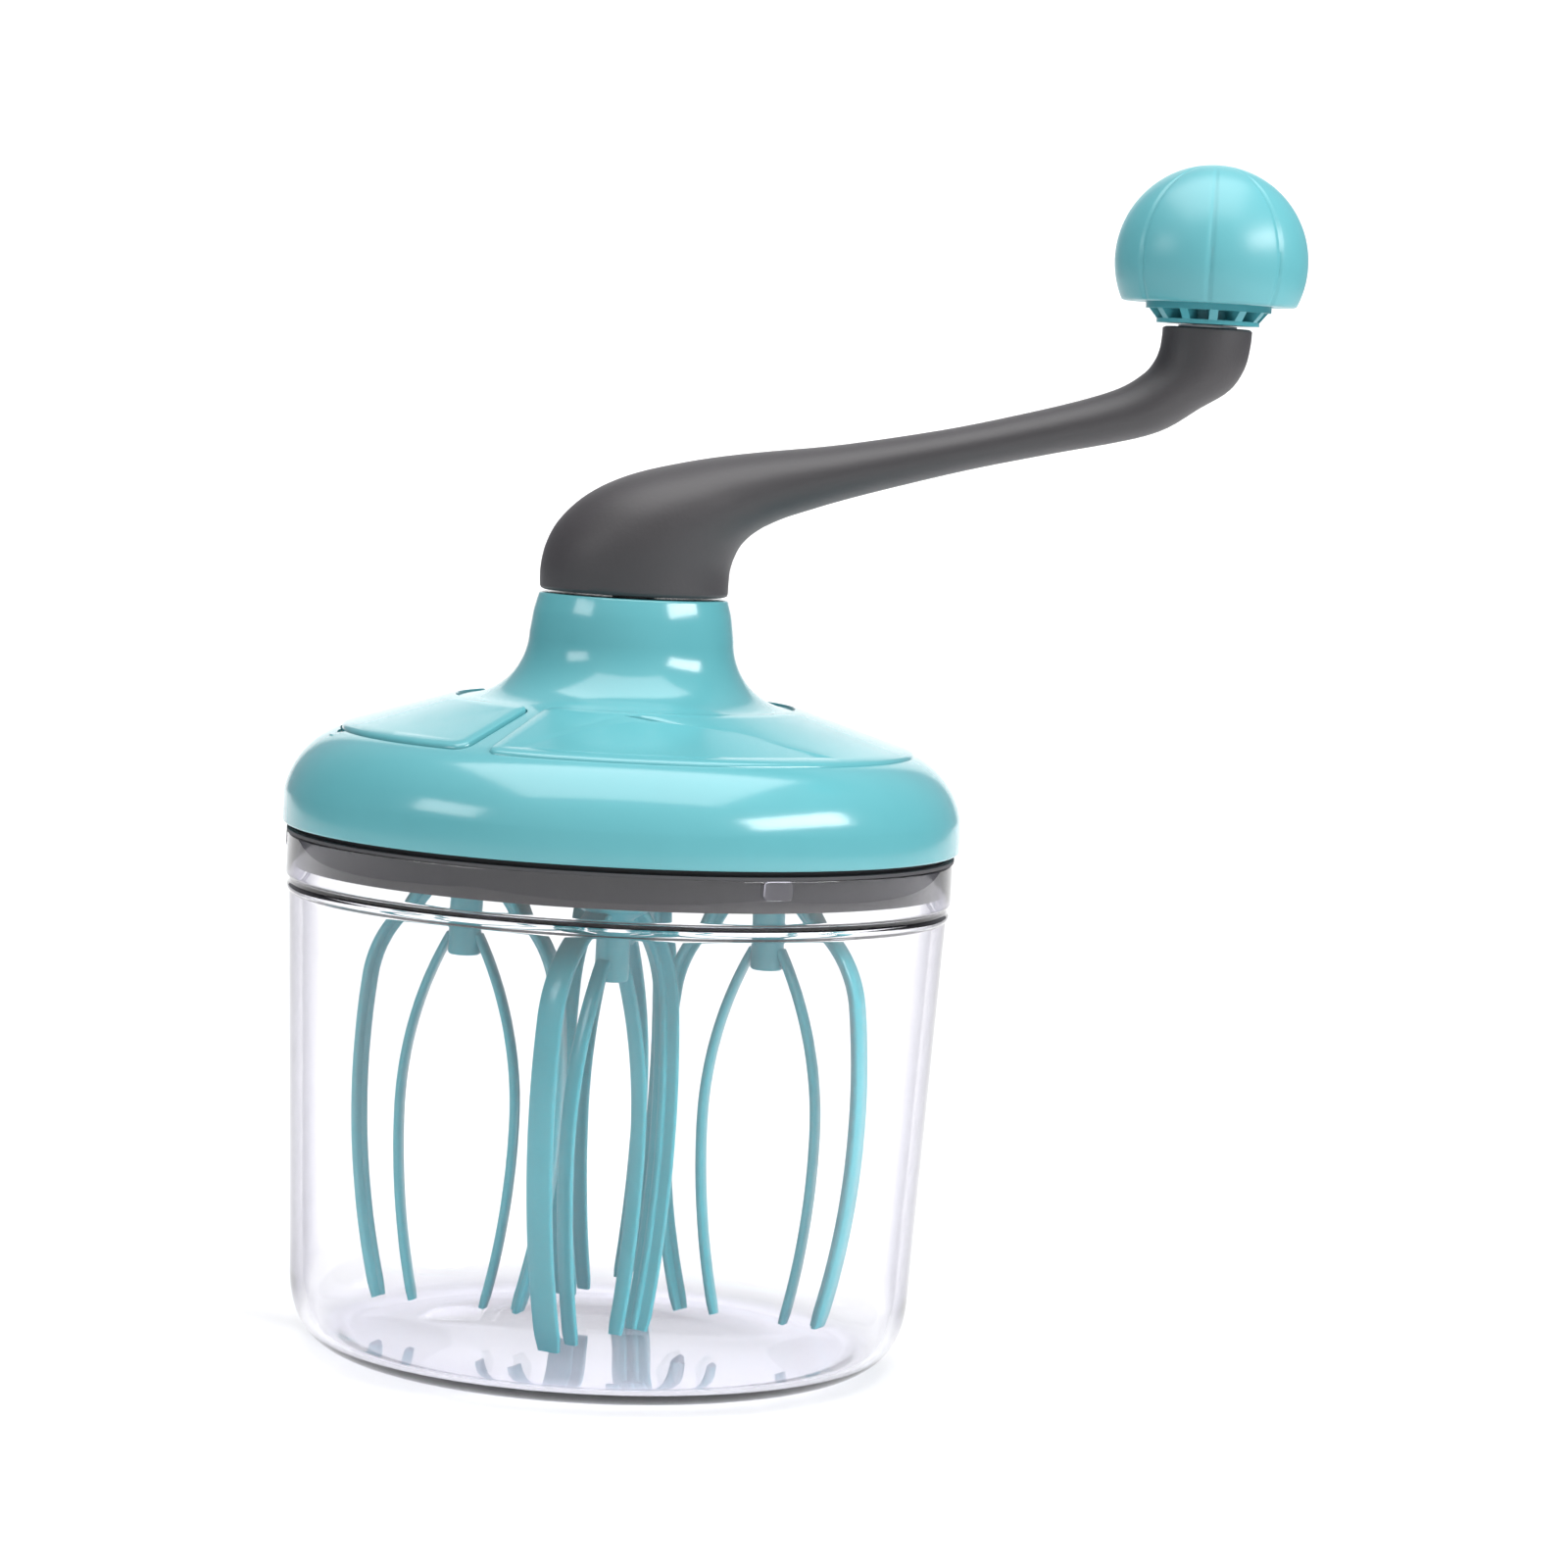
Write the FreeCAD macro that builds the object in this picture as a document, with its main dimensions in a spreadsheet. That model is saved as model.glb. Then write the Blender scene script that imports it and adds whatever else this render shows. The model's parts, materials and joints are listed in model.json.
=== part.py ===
import FreeCAD, Part
import math
import os
import re
import Sketcher

# Hand-crank egg beater: clear round cup, geared lid, cranked arm with a ball knob, four whisks.
# Frame: millimetres, +Z up, origin at the centre of the cup's flat base, crank arm at rest along +X.

doc = FreeCAD.newDocument("egg_beater")

SIZES = {
    # how far a cut runs past the faces it passes, and the sine of 45 degrees
    "over": 1.0, "well_over": 8.0, "diagonal": 0.7071,
    # cup
    "base_flat": 46.0, "floor_thick": 3.2, "corner_z": 14.0, "corner_r": 58.4, "corner_arc": 13.3,
    "wall_top_z": 86.0, "wall_top_r": 61.7, "wall_thick": 2.2, "inner_flat": 45.0, "inner_arc": 11.2,
    "bead_z": 86.9, "rim_r": 62.4, "rim_inner": 61.5, "rim_top": 96.9, "ledge_z": 87.6,
    "lug_count": 3.0, "lug_width": 5.9, "lug_height": 3.6, "lug_z": 93.9, "lug_raise": 1.0, "lug_turn": -62.0,
    # lid shell
    "lid_low": 97.6, "lid_r": 63.4, "side_top": 104.5, "dome_r": 54.0, "dome_z": 116.8, "side_arc": 15.5,
    "step": 0.6, "crown_r": 31.2, "crown_z": 124.1, "flare_arc": 12.7, "neck_low_r": 19.2, "neck_low_z": 136.0,
    "neck_r": 17.7, "neck_top": 143.6, "shell": 2.0, "neck_hole": 7.2, "skirt_nest": 61.3,
    "nest_top": 102.0, "dome_inset": 0.5, "post_ring": 50.5, "post_r": 3.4, "post_low": 93.5, "post_top": 114.9,
    # feed hole and its cover
    "cover_in": 32.2, "cover_out": 53.2, "cover_thick": 1.5, "cover_gap": 0.3, "cover_span": 92.0,
    "cover_turn": -168.0, "cover_bed": 0.35, "cover_proud": 0.25, "cover_sunk": 0.1, "seat_ease": 1.0,
    "feed_ring": 49.5, "feed_bore": 5.0, "feed_wall": 1.4, "feed_fit": 0.1, "feed_low": 90.0,
    # lid base tray
    "tray_low": 91.0, "tray_floor": 2.4, "skirt_r": 61.15, "skirt_in": 58.95, "skirt_top": 101.6,
    "centre_boss": 6.5, "centre_boss_top": 101.5, "running": 0.06, "spindle_ring": 28.5,
    "spindle_boss": 4.6, "spindle_boss_top": 94.6, "pillar_ring": 20.0, "pillar_r": 3.6, "pillar_top": 101.9,
    "seal_in": 61.3, "seal_out": 62.6, "seal_low": 96.95, "seal_high": 97.55,
    # bearings
    "plate_r": 35.2, "plate_thick": 2.0, "plate_gap": 0.3, "shaft_end_gap": 0.4, "bush_sunk": 0.1,
    "bush_out": 7.0, "bush_low": 116.2, "bush_collar": 9.6,
    "bush_collar_low": 139.4, "bush_collar_high": 141.5,
    # fasteners
    "screw_r": 1.4, "head_r": 2.7, "head_high": 1.7, "head_gap": 0.2,
    "plate_screw_deep": 7.0, "lid_screw_deep": 9.0, "screw_end_gap": 1.0,
    "head_sink": 1.8,
    # gear train
    "gear_module": 1.0, "ring_teeth": 76.0, "pinion_teeth": 19.0, "pressure": 25.0, "backlash": 0.24,
    "ring_root": 1.0, "ring_tip": 0.8, "ring_blank": 2.6, "pinion_tip": 0.8, "pinion_root": 1.05,
    "ring_low": 95.4, "ring_face": 6.2, "pinion_low": 95.0, "pinion_face": 6.4,
    "drum_r": 42.0, "drum_in": 39.3, "web_low": 107.0, "web_thick": 2.2, "hub_r": 8.5, "hub_top": 114.0,
    "window_ring": 24.0, "window_r": 7.0, "window_count": 6.0,
    # shafts
    "shaft_r": 4.0, "shaft_low": 93.3, "shaft_top": 157.0, "clip_r": 6.4, "clip_thick": 1.0,
    "spindle_r": 1.75, "spindle_low": 77.5, "spindle_top": 105.0, "spindle_clip_r": 3.6,
    "spindle_clip_low": 103.98, "spindle_clip_thick": 0.7,
    # whisks
    "whisk_hub_r": 3.1, "whisk_hub_low": 74.4, "whisk_hub_top": 90.3, "collar_r": 7.0, "collar_low": 87.3,
    "collar_cone": 1.5, "collar_bevel_high": 0.8, "collar_bevel_in": 1.0, "shoulder_end": 75.0,
    "foot_z": 8.0, "outer_bulge": 20.3, "outer_mid": 50.0, "outer_arc": 150.0, "outer_join": 69.0,
    "outer_shoulder": 22.0, "outer_wide": 5.2, "outer_thick": 1.2, "rib_wide": 1.3, "rib_thick": 2.3,
    "inner_bulge": 11.7, "inner_mid": 44.0, "inner_arc_low": 145.0, "inner_arc_high": 70.0,
    "inner_top": 78.5, "inner_wide": 3.0, "inner_thick": 1.2,
    # knob on its pin
    "knob_x": 104.3, "knob_z": 211.2, "ball_r": 18.0, "ball_cut": 203.4, "ball_top": 229.15, "ball_shell": 2.2,
    "core_r": 6.6, "core_low": 199.6, "core_top": 219.5, "pin_r": 3.0, "pin_low": 189.0, "pin_top": 220.0,
    "pin_shoulder": 5.5, "pin_shoulder_z": 199.4, "ring_r": 11.7, "flange_r": 9.6, "flange": 0.8, "skirt_low": 202.2,
    "groove_deep": 0.35, "groove_wide": 0.55, "groove_top": 227.0, "groove_count": 8.0, "groove_turn": 39.0,
    "core_gap": 0.1, "core_rise": 5.0, "core_wall": 1.2, "core_lip": 0.3, "ring_rise": 1.4,
    "rib_lap": 0.4, "rib_inset": 0.6, "rib_back": 0.3,
    "knob_ribs": 12.0, "knob_rib_thick": 1.6, "washer_r": 5.0, "washer_thick": 0.8,
    "cap_screw_r": 1.25, "cap_head_r": 3.2, "cap_head_high": 2.2, "cap_screw_deep": 8.0, "cap_screw_gap": 0.5,
}

# Crank arm stations along its bend: x and z of the middle, lean from level (degrees),
# half depth in the plane of the bend, half width across it.
ARM = [
    (0.00, 144.10, 0.0, 17.60, 17.61),
    (0.03, 148.70, 1.0, 17.73, 17.75),
    (1.00, 152.65, -0.8, 17.75, 17.80),
    (2.80, 155.93, -4.7, 17.26, 17.40),
    (6.15, 159.20, -10.5, 15.92, 16.50),
    (11.05, 161.95, -16.5, 13.92, 15.00),
    (18.35, 164.40, -25.0, 10.87, 12.80),
    (28.25, 166.80, -36.9, 7.82, 10.60),
    (41.40, 169.68, -46.3, 5.64, 8.80),
    (57.85, 173.65, -60.2, 4.32, 7.80),
    (74.00, 177.75, -69.2, 4.23, 7.60),
    (86.55, 181.10, -65.6, 4.72, 7.70),
    (93.35, 183.60, -53.8, 5.33, 7.90),
    (98.30, 186.95, -31.2, 6.08, 8.10),
    (101.90, 189.95, -19.0, 7.51, 8.25),
    (103.62, 193.20, -11.3, 8.13, 8.33),
    (104.20, 196.45, -3.8, 8.32, 8.36),
    (104.30, 199.00, 0.0, 8.35, 8.36),
]
STATIONS = "abcdefghijklmnopqr"
RING_HALF = 8
for letter, station in zip(STATIONS, ARM):
    for word, amount in zip(("x", "z", "lean", "deep", "wide"), station):
        SIZES["arm_" + word + "_" + letter] = amount

# Each whisk's bearing round the lid and the turn of its loops, in degrees.
WHISKS = {"right": (0.0, -25.0), "back": (90.0, 62.0), "left": (180.0, -18.0), "front": (270.0, 58.0)}

sheet = doc.addObject("Spreadsheet::Sheet", "Sizes")
for row, (name, amount) in enumerate(SIZES.items(), start=1):
    sheet.set("A%d" % row, name)
    sheet.set("B%d" % row, str(amount))
    sheet.setAlias("B%d" % row, name)
doc.recompute()

WORD = re.compile(r"[a-z][a-z_]*")


def bound(text):
    """Turn a sum of size names into an expression on the sheet."""
    return WORD.sub(lambda found: "Sizes." + found.group(0), text)


def value(text):
    """Number for a sum such as 'rim_r - wall_thick + 0.5' or '2 * shell'."""
    total = 0.0
    for sign, chunk in re.findall(r"([+-]?)\s*([^+-]+)", text.replace(" ", "")):
        product = 1.0
        for factor in chunk.split("*"):
            product *= SIZES[factor] if factor in SIZES else float(factor)
        total += -product if sign == "-" else product
    return total


def body(label):
    made = doc.addObject("PartDesign::Body", label)
    made.Label = label
    return made


def sketch(owner, name, plane, offset="0"):
    """Sketch on an origin plane of its body, moved along the plane's normal by a size."""
    made = owner.newObject("Sketcher::SketchObject", owner.Name + "_" + name)
    face = [part for part in owner.Origin.OriginFeatures if part.Role == plane][0]
    made.AttachmentSupport = [(face, "")]
    made.MapMode = "FlatFace"
    if offset != "0":
        made.setExpression(".AttachmentOffset.Base.z", bound(offset))
    return made


def fix(sk, kind, geometry, end, text):
    """Hold one coordinate of a point at a size."""
    if abs(value(text)) < 1e-9:
        axis = -2 if kind == "DistanceX" else -1
        sk.addConstraint(Sketcher.Constraint("PointOnObject", geometry, end, axis))
        return
    index = sk.addConstraint(Sketcher.Constraint(kind, -1, 1, geometry, end, value(text)))
    sk.setExpression("Constraints[%d]" % index, bound(text))


def circle(sk, x, y, radius):
    centre = FreeCAD.Vector(value(x), value(y), 0)
    index = sk.addGeometry(Part.Circle(centre, FreeCAD.Vector(0, 0, 1), value(radius)), False)
    held = sk.addConstraint(Sketcher.Constraint("Radius", index, value(radius)))
    sk.setExpression("Constraints[%d]" % held, bound(radius))
    fix(sk, "DistanceX", index, 3, x)
    fix(sk, "DistanceY", index, 3, y)


def outline(sk, corners):
    """Closed outline. A corner is (x, y) or (x, y, arc radius, side) for a curved run to the next corner."""
    count = len(corners)
    points = [FreeCAD.Vector(value(c[0]), value(c[1]), 0) for c in corners]
    first = sk.GeometryCount
    ends = []
    for i, corner in enumerate(corners):
        start = points[i]
        stop = points[(i + 1) % count]
        if len(corner) == 2:
            sk.addGeometry(Part.LineSegment(start, stop), False)
            ends.append((1, 2))
            continue
        radius = value(corner[2])
        side = corner[3]
        chord = stop - start
        across = FreeCAD.Vector(-chord.y, chord.x, 0).normalize()
        middle = (start + stop) * 0.5 + across * side * math.sqrt(radius ** 2 - (chord.Length / 2) ** 2)
        begin = math.atan2(start.y - middle.y, start.x - middle.x)
        finish = math.atan2(stop.y - middle.y, stop.x - middle.x)
        ring = Part.Circle(middle, FreeCAD.Vector(0, 0, 1), radius)
        if side > 0:
            sk.addGeometry(Part.ArcOfCircle(ring, begin, finish), False)
            ends.append((1, 2))
        else:
            sk.addGeometry(Part.ArcOfCircle(ring, finish, begin), False)
            ends.append((2, 1))
    for i, corner in enumerate(corners):
        after = (i + 1) % count
        joined = (first + i, ends[i][1], first + after, ends[after][0])
        sk.addConstraint(Sketcher.Constraint("Coincident", *joined))
        fix(sk, "DistanceX", first + i, ends[i][0], corner[0])
        fix(sk, "DistanceY", first + i, ends[i][0], corner[1])
        if len(corner) > 2:
            held = sk.addConstraint(Sketcher.Constraint("Radius", first + i, value(corner[2])))
            sk.setExpression("Constraints[%d]" % held, bound(corner[2]))


def box_outline(sk, left, low, right, high):
    outline(sk, [(left, low), (right, low), (right, high), (left, high)])


def turn(owner, sk, cut=False, angle=None):
    """Revolve a sketch about the vertical line through the origin."""
    kind = "PartDesign::Groove" if cut else "PartDesign::Revolution"
    made = owner.newObject(kind, sk.Name + ("_groove" if cut else "_turn"))
    made.Profile = sk
    made.ReferenceAxis = (sk, ["V_Axis"])
    made.Angle = 360.0
    if angle:
        made.Midplane = True
        made.setExpression("Angle", bound(angle))
    sk.Visibility = False
    doc.recompute()
    return made


def pad(owner, sk, length, both=False):
    made = owner.newObject("PartDesign::Pad", sk.Name + "_pad")
    made.Profile = sk
    made.setExpression("Length", bound(length))
    made.Midplane = both
    sk.Visibility = False
    doc.recompute()
    return made


def pocket(owner, sk, length):
    """Cut along the sketch normal upward: the pocket runs against the normal unless reversed."""
    made = owner.newObject("PartDesign::Pocket", sk.Name + "_pocket")
    made.Profile = sk
    made.setExpression("Length", bound(length))
    made.Reversed = True
    sk.Visibility = False
    doc.recompute()
    return made


def pattern(owner, feature, count):
    """Repeat a feature evenly about the vertical axis."""
    made = owner.newObject("PartDesign::PolarPattern", feature.Name + "_repeat")
    made.Originals = [feature]
    axis = [part for part in owner.Origin.OriginFeatures if part.Role == "Z_Axis"][0]
    made.Axis = (axis, [""])
    made.Angle = 360
    made.Occurrences = int(round(value(count)))
    owner.Tip = made
    doc.recompute()
    return made


def place(thing, ring, bearing, turned=0.0):
    """Stand a body at a bearing on a ring about the crank axis."""
    spin = FreeCAD.Rotation(FreeCAD.Vector(0, 0, 1), turned)
    thing.Placement = FreeCAD.Placement(FreeCAD.Vector(0, 0, 0), spin)
    thing.setExpression(".Placement.Base.x", "%s * cos(%g deg)" % (bound(ring), bearing))
    thing.setExpression(".Placement.Base.y", "%s * sin(%g deg)" % (bound(ring), bearing))


def ring_body(label, inner, outer, low, high):
    """Plain turned ring or disc."""
    made = body(label)
    sk = sketch(made, "section", "XZ_Plane")
    box_outline(sk, inner, low, outer, high)
    turn(made, sk)
    return made


def cup():
    made = body("cup")
    sk = sketch(made, "section", "XZ_Plane")
    outline(sk, [
        ("0", "0"), ("base_flat", "0", "corner_arc", 1), ("corner_r", "corner_z"),
        ("wall_top_r", "wall_top_z"), ("rim_r", "bead_z"), ("rim_r", "rim_top"), ("rim_inner", "rim_top"),
        ("rim_inner", "ledge_z"), ("wall_top_r - wall_thick", "wall_top_z"),
        ("corner_r - wall_thick", "corner_z + 1.0", "inner_arc", -1), ("inner_flat", "floor_thick"),
        ("0", "floor_thick"),
    ])
    turn(made, sk)
    lug = sketch(made, "lug", "YZ_Plane", "rim_r - 0.5")
    box_outline(lug, "-0.5 * lug_width", "lug_z - 0.5 * lug_height",
                "0.5 * lug_width", "lug_z + 0.5 * lug_height")
    pattern(made, pad(made, lug, "lug_raise"), "lug_count")
    made.Placement.Rotation = FreeCAD.Rotation(FreeCAD.Vector(0, 0, 1), value("lug_turn"))
    return made


def lid_shell():
    made = body("lid_shell")
    sk = sketch(made, "section", "XZ_Plane")
    outline(sk, [
        ("skirt_nest", "lid_low"), ("lid_r", "lid_low"), ("lid_r", "side_top", "side_arc", 1),
        ("dome_r", "dome_z - step"), ("dome_r", "dome_z"), ("crown_r", "crown_z"),
        ("crown_r - step", "crown_z - step", "flare_arc", -1), ("neck_low_r", "neck_low_z"),
        ("neck_r", "neck_top"),
        ("neck_hole", "neck_top"), ("neck_hole", "neck_top - shell"),
        ("neck_r - shell", "neck_top - shell"), ("neck_low_r - shell", "neck_low_z", "flare_arc + shell", 1),
        ("crown_r - step", "crown_z - step - shell"),
        ("dome_r - dome_inset", "dome_z - step - shell", "side_arc - shell", -1),
        ("lid_r - shell", "side_top"), ("lid_r - shell", "nest_top"), ("skirt_nest", "nest_top"),
    ])
    turn(made, sk)
    post = sketch(made, "post", "XY_Plane", "post_low")
    circle(post, "diagonal * post_ring", "diagonal * post_ring", "post_r")
    pattern(made, pad(made, post, "post_top - post_low"), "4")
    drill = sketch(made, "drill", "XY_Plane", "post_low")
    circle(drill, "diagonal * post_ring", "diagonal * post_ring", "screw_r")
    pattern(made, pocket(made, drill, "lid_screw_deep"), "4")
    seat = sketch(made, "cover_seat", "XZ_Plane")
    outline(seat, [
        ("cover_in - cover_gap", "crown_z - cover_thick"), ("cover_out + cover_gap", "dome_z - cover_thick"),
        ("cover_out + cover_gap", "dome_z + well_over"), ("cover_in - cover_gap", "crown_z + well_over"),
    ])
    turn(made, seat, cut=True, angle="cover_span + seat_ease")
    tube = sketch(made, "feed_tube", "XY_Plane", "feed_low")
    circle(tube, "feed_ring", "0", "feed_bore + feed_wall")
    pad(made, tube, "dome_z - feed_low - cover_thick")
    bore = sketch(made, "feed_bore", "XY_Plane", "feed_low - over")
    circle(bore, "feed_ring", "0", "feed_bore")
    made.Tip = pocket(made, bore, "dome_z - feed_low + well_over")
    made.Placement.Rotation = FreeCAD.Rotation(FreeCAD.Vector(0, 0, 1), value("cover_turn"))
    return made


def fill_cover():
    made = body("fill_cover")
    sk = sketch(made, "section", "XZ_Plane")
    outline(sk, [
        ("cover_in", "crown_z - cover_thick + cover_bed"), ("cover_out", "dome_z - cover_thick + cover_bed"),
        ("cover_out", "dome_z + cover_proud"), ("cover_in", "crown_z - cover_sunk"),
    ])
    turn(made, sk, angle="cover_span")
    made.Placement.Rotation = FreeCAD.Rotation(FreeCAD.Vector(0, 0, 1), value("cover_turn"))
    return made


def lid_base():
    made = body("lid_base")
    sk = sketch(made, "section", "XZ_Plane")
    outline(sk, [
        ("0", "tray_low"), ("skirt_r", "tray_low"), ("skirt_r", "skirt_top"), ("skirt_in", "skirt_top"),
        ("skirt_in", "tray_low + tray_floor"), ("centre_boss", "tray_low + tray_floor"),
        ("centre_boss", "centre_boss_top"), ("shaft_r + running", "centre_boss_top"),
        ("shaft_r + running", "shaft_low - shaft_end_gap"), ("0", "shaft_low - shaft_end_gap"),
    ])
    turn(made, sk)
    boss = sketch(made, "boss", "XY_Plane", "tray_low")
    circle(boss, "spindle_ring", "0", "spindle_boss")
    pattern(made, pad(made, boss, "spindle_boss_top - tray_low"), "4")
    bore = sketch(made, "bore", "XY_Plane", "tray_low - over")
    circle(bore, "spindle_ring", "0", "spindle_r + running")
    pattern(made, pocket(made, bore, "well_over"), "4")
    pillar = sketch(made, "pillar", "XY_Plane", "tray_low")
    circle(pillar, "diagonal * pillar_ring", "diagonal * pillar_ring", "pillar_r")
    pattern(made, pad(made, pillar, "pillar_top - tray_low"), "4")
    drill = sketch(made, "drill", "XY_Plane", "pillar_top - plate_screw_deep")
    circle(drill, "diagonal * pillar_ring", "diagonal * pillar_ring", "screw_r")
    pattern(made, pocket(made, drill, "plate_screw_deep + over"), "4")
    return made


def lid_base_holes(tray):
    """Screw clearance, head recesses and the feed opening, turned to match the lid shell."""
    angle = math.radians(value("cover_turn"))
    for number in range(4):
        at = angle + math.radians(45 + 90 * number)
        for name, radius, low, deep in (("hole", "screw_r", "tray_low - over", "well_over"),
                                        ("sink", "head_r + head_gap", "tray_low - over", "over + head_sink")):
            sk = sketch(tray, "%s_%d" % (name, number), "XY_Plane", low)
            circle(sk, "%.6f * post_ring" % math.cos(at), "%.6f * post_ring" % math.sin(at), radius)
            pocket(tray, sk, deep)
    feed = sketch(tray, "feed", "XY_Plane", "tray_low - over")
    circle(feed, "%.6f * feed_ring" % math.cos(angle), "%.6f * feed_ring" % math.sin(angle),
           "feed_bore + feed_wall + feed_fit")
    tray.Tip = pocket(tray, feed, "well_over")


def bearing_plate():
    made = body("bearing_plate")
    disc = sketch(made, "disc", "XY_Plane", "pillar_top")
    circle(disc, "0", "0", "plate_r")
    circle(disc, "0", "0", "shaft_r + plate_gap")
    pad(made, disc, "plate_thick")
    pivot = ("pivot", "spindle_ring", "0", "spindle_r + running")
    fixing = ("fixing", "diagonal * pillar_ring", "diagonal * pillar_ring", "screw_r")
    for name, ring_x, ring_y, radius in (pivot, fixing):
        sk = sketch(made, name, "XY_Plane", "pillar_top - over")
        circle(sk, ring_x, ring_y, radius)
        pattern(made, pocket(made, sk, "plate_thick + 2.0 * over"), "4")
    return made


def neck_bush():
    made = body("neck_bush")
    sk = sketch(made, "section", "XZ_Plane")
    outline(sk, [
        ("shaft_r + running", "bush_low"), ("bush_out", "bush_low"), ("bush_out", "bush_collar_low"),
        ("bush_collar", "bush_collar_low"), ("bush_collar", "bush_collar_high"),
        ("bush_out", "bush_collar_high"), ("bush_out", "neck_top - bush_sunk"),
        ("shaft_r + running", "neck_top - bush_sunk"),
    ])
    turn(made, sk)
    return made


def screw_set(label, ring, bearing, shank, cap):
    """Four equal screws standing on one ring; shank and cap are each (lowest height, length)."""
    made = body(label)
    for name, radius, (start, length) in (("shank", "screw_r", shank), ("head", "head_r", cap)):
        sk = sketch(made, name, "XY_Plane", start)
        for number in range(4):
            at = math.radians(bearing + 90 * number)
            circle(sk, "%.6f * %s" % (math.cos(at), ring), "%.6f * %s" % (math.sin(at), ring), radius)
        pad(made, sk, length)
    return made


def involute(radius, base):
    ratio = min(1.0, base / radius)
    angle = math.acos(ratio)
    return math.tan(angle) - angle


def gear_outline(teeth, tip, root, slack):
    """Closed outline of an involute gear with one tooth centred on +X."""
    module = value("gear_module")
    pitch = module * teeth / 2.0
    base = pitch * math.cos(math.radians(value("pressure")))
    half = math.pi / (2.0 * teeth) + slack / (2.0 * pitch) + involute(pitch, base)
    low = max(root, base)
    radii = [low + (tip - low) * step / 5.0 for step in range(6)]
    flank = [(radius, half - involute(radius, base)) for radius in radii]
    if root < base:
        flank.insert(0, (root, half))
    points = []
    for number in range(teeth):
        middle = 2.0 * math.pi * number / teeth
        for radius, angle in flank:
            points.append((radius, middle - angle))
        for radius, angle in reversed(flank):
            points.append((radius, middle + angle))
    corners = [FreeCAD.Vector(r * math.cos(a), r * math.sin(a), 0) for r, a in points]
    return Part.makePolygon(corners + [corners[0]])


def toothed_block(name, teeth, tip, root, slack, low, face):
    """Gear-shaped block: the tooth outline extruded over its face width."""
    flat = doc.addObject("Part::Feature", name + "_outline")
    flat.Shape = Part.Face(gear_outline(teeth, tip, root, slack))
    flat.Placement.Base.z = 0
    flat.setExpression(".Placement.Base.z", bound(low))
    block = doc.addObject("Part::Extrusion", name)
    block.Base = flat
    block.DirMode = "Custom"
    block.Dir = FreeCAD.Vector(0, 0, 1)
    block.Solid = True
    block.setExpression("LengthFwd", bound(face))
    doc.recompute()
    return block


def cylinder(name, radius, height, low):
    made = doc.addObject("Part::Cylinder", name)
    made.setExpression("Radius", bound(radius))
    made.setExpression("Height", bound(height))
    made.setExpression(".Placement.Base.z", bound(low))
    return made


def cut(label, base, tool):
    made = doc.addObject("Part::Cut", label)
    made.Label = label
    made.Base = base
    made.Tool = tool
    doc.recompute()
    return made


def join(label, pieces):
    made = doc.addObject("Part::MultiFuse", label)
    made.Label = label
    made.Shapes = pieces
    doc.recompute()
    return made


def drive_drum():
    """Drum with the internal ring gear, carried by the crank shaft."""
    teeth = int(value("ring_teeth"))
    pitch = value("gear_module") * teeth / 2.0
    made = body("drum_blank")
    sk = sketch(made, "section", "XZ_Plane")
    outline(sk, [
        ("drum_in - ring_blank", "ring_low"), ("drum_r", "ring_low"), ("drum_r", "web_low + web_thick"),
        ("hub_r", "web_low + web_thick"), ("hub_r", "hub_top"), ("shaft_r", "hub_top"), ("shaft_r", "web_low"),
        ("drum_in", "web_low"), ("drum_in", "ring_low + ring_face"), ("drum_in - ring_blank", "ring_low + ring_face"),
    ])
    turn(made, sk)
    window = sketch(made, "window", "XY_Plane", "web_low - over")
    circle(window, "window_ring", "0", "window_r")
    pattern(made, pocket(made, window, "web_thick + 2.0 * over"), "window_count")
    space = toothed_block("ring_space", teeth, pitch + value("ring_root"), pitch - value("ring_tip"),
                          value("backlash"), "ring_low - over", "ring_face + 2.0 * over")
    return cut("drive_drum", made, space)


def pinion(name, bearing):
    teeth = int(value("pinion_teeth"))
    pitch = value("gear_module") * teeth / 2.0
    block = toothed_block("pinion_blank_" + name, teeth, pitch + value("pinion_tip"),
                          pitch - value("pinion_root"), -value("backlash"), "pinion_low", "pinion_face")
    bore = cylinder("pinion_bore_" + name, "spindle_r", "pinion_face + 2.0 * over", "pinion_low - over")
    made = cut("pinion_" + name, block, bore)
    place(made, "spindle_ring", bearing, bearing)
    return made


def whisk_run(half, thick, rows):
    """Inner and outer edge points of a strap from its middle line (radius, height, normal)."""
    inner = []
    outer = []
    for radius, height, nx, nz in rows:
        inner.append(FreeCAD.Vector(radius + (half - thick) * nx, height + (half - thick) * nz, 0))
        outer.append(FreeCAD.Vector(radius + half * nx, height + half * nz, 0))
    return inner, outer


def curve_strip(sk, inner, outer):
    """Closed strip between two smooth curves through the given points."""
    edge = []
    for points in (inner, outer):
        line = Part.BSplineCurve()
        line.interpolate(points)
        edge.append(sk.addGeometry(line, False))
    low = sk.addGeometry(Part.LineSegment(inner[0], outer[0]), False)
    top = sk.addGeometry(Part.LineSegment(inner[-1], outer[-1]), False)
    for one, end, other, start in ((low, 1, edge[0], 1), (low, 2, edge[1], 1), (top, 1, edge[0], 2),
                                   (top, 2, edge[1], 2)):
        sk.addConstraint(Sketcher.Constraint("Coincident", one, end, other, start))


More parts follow.
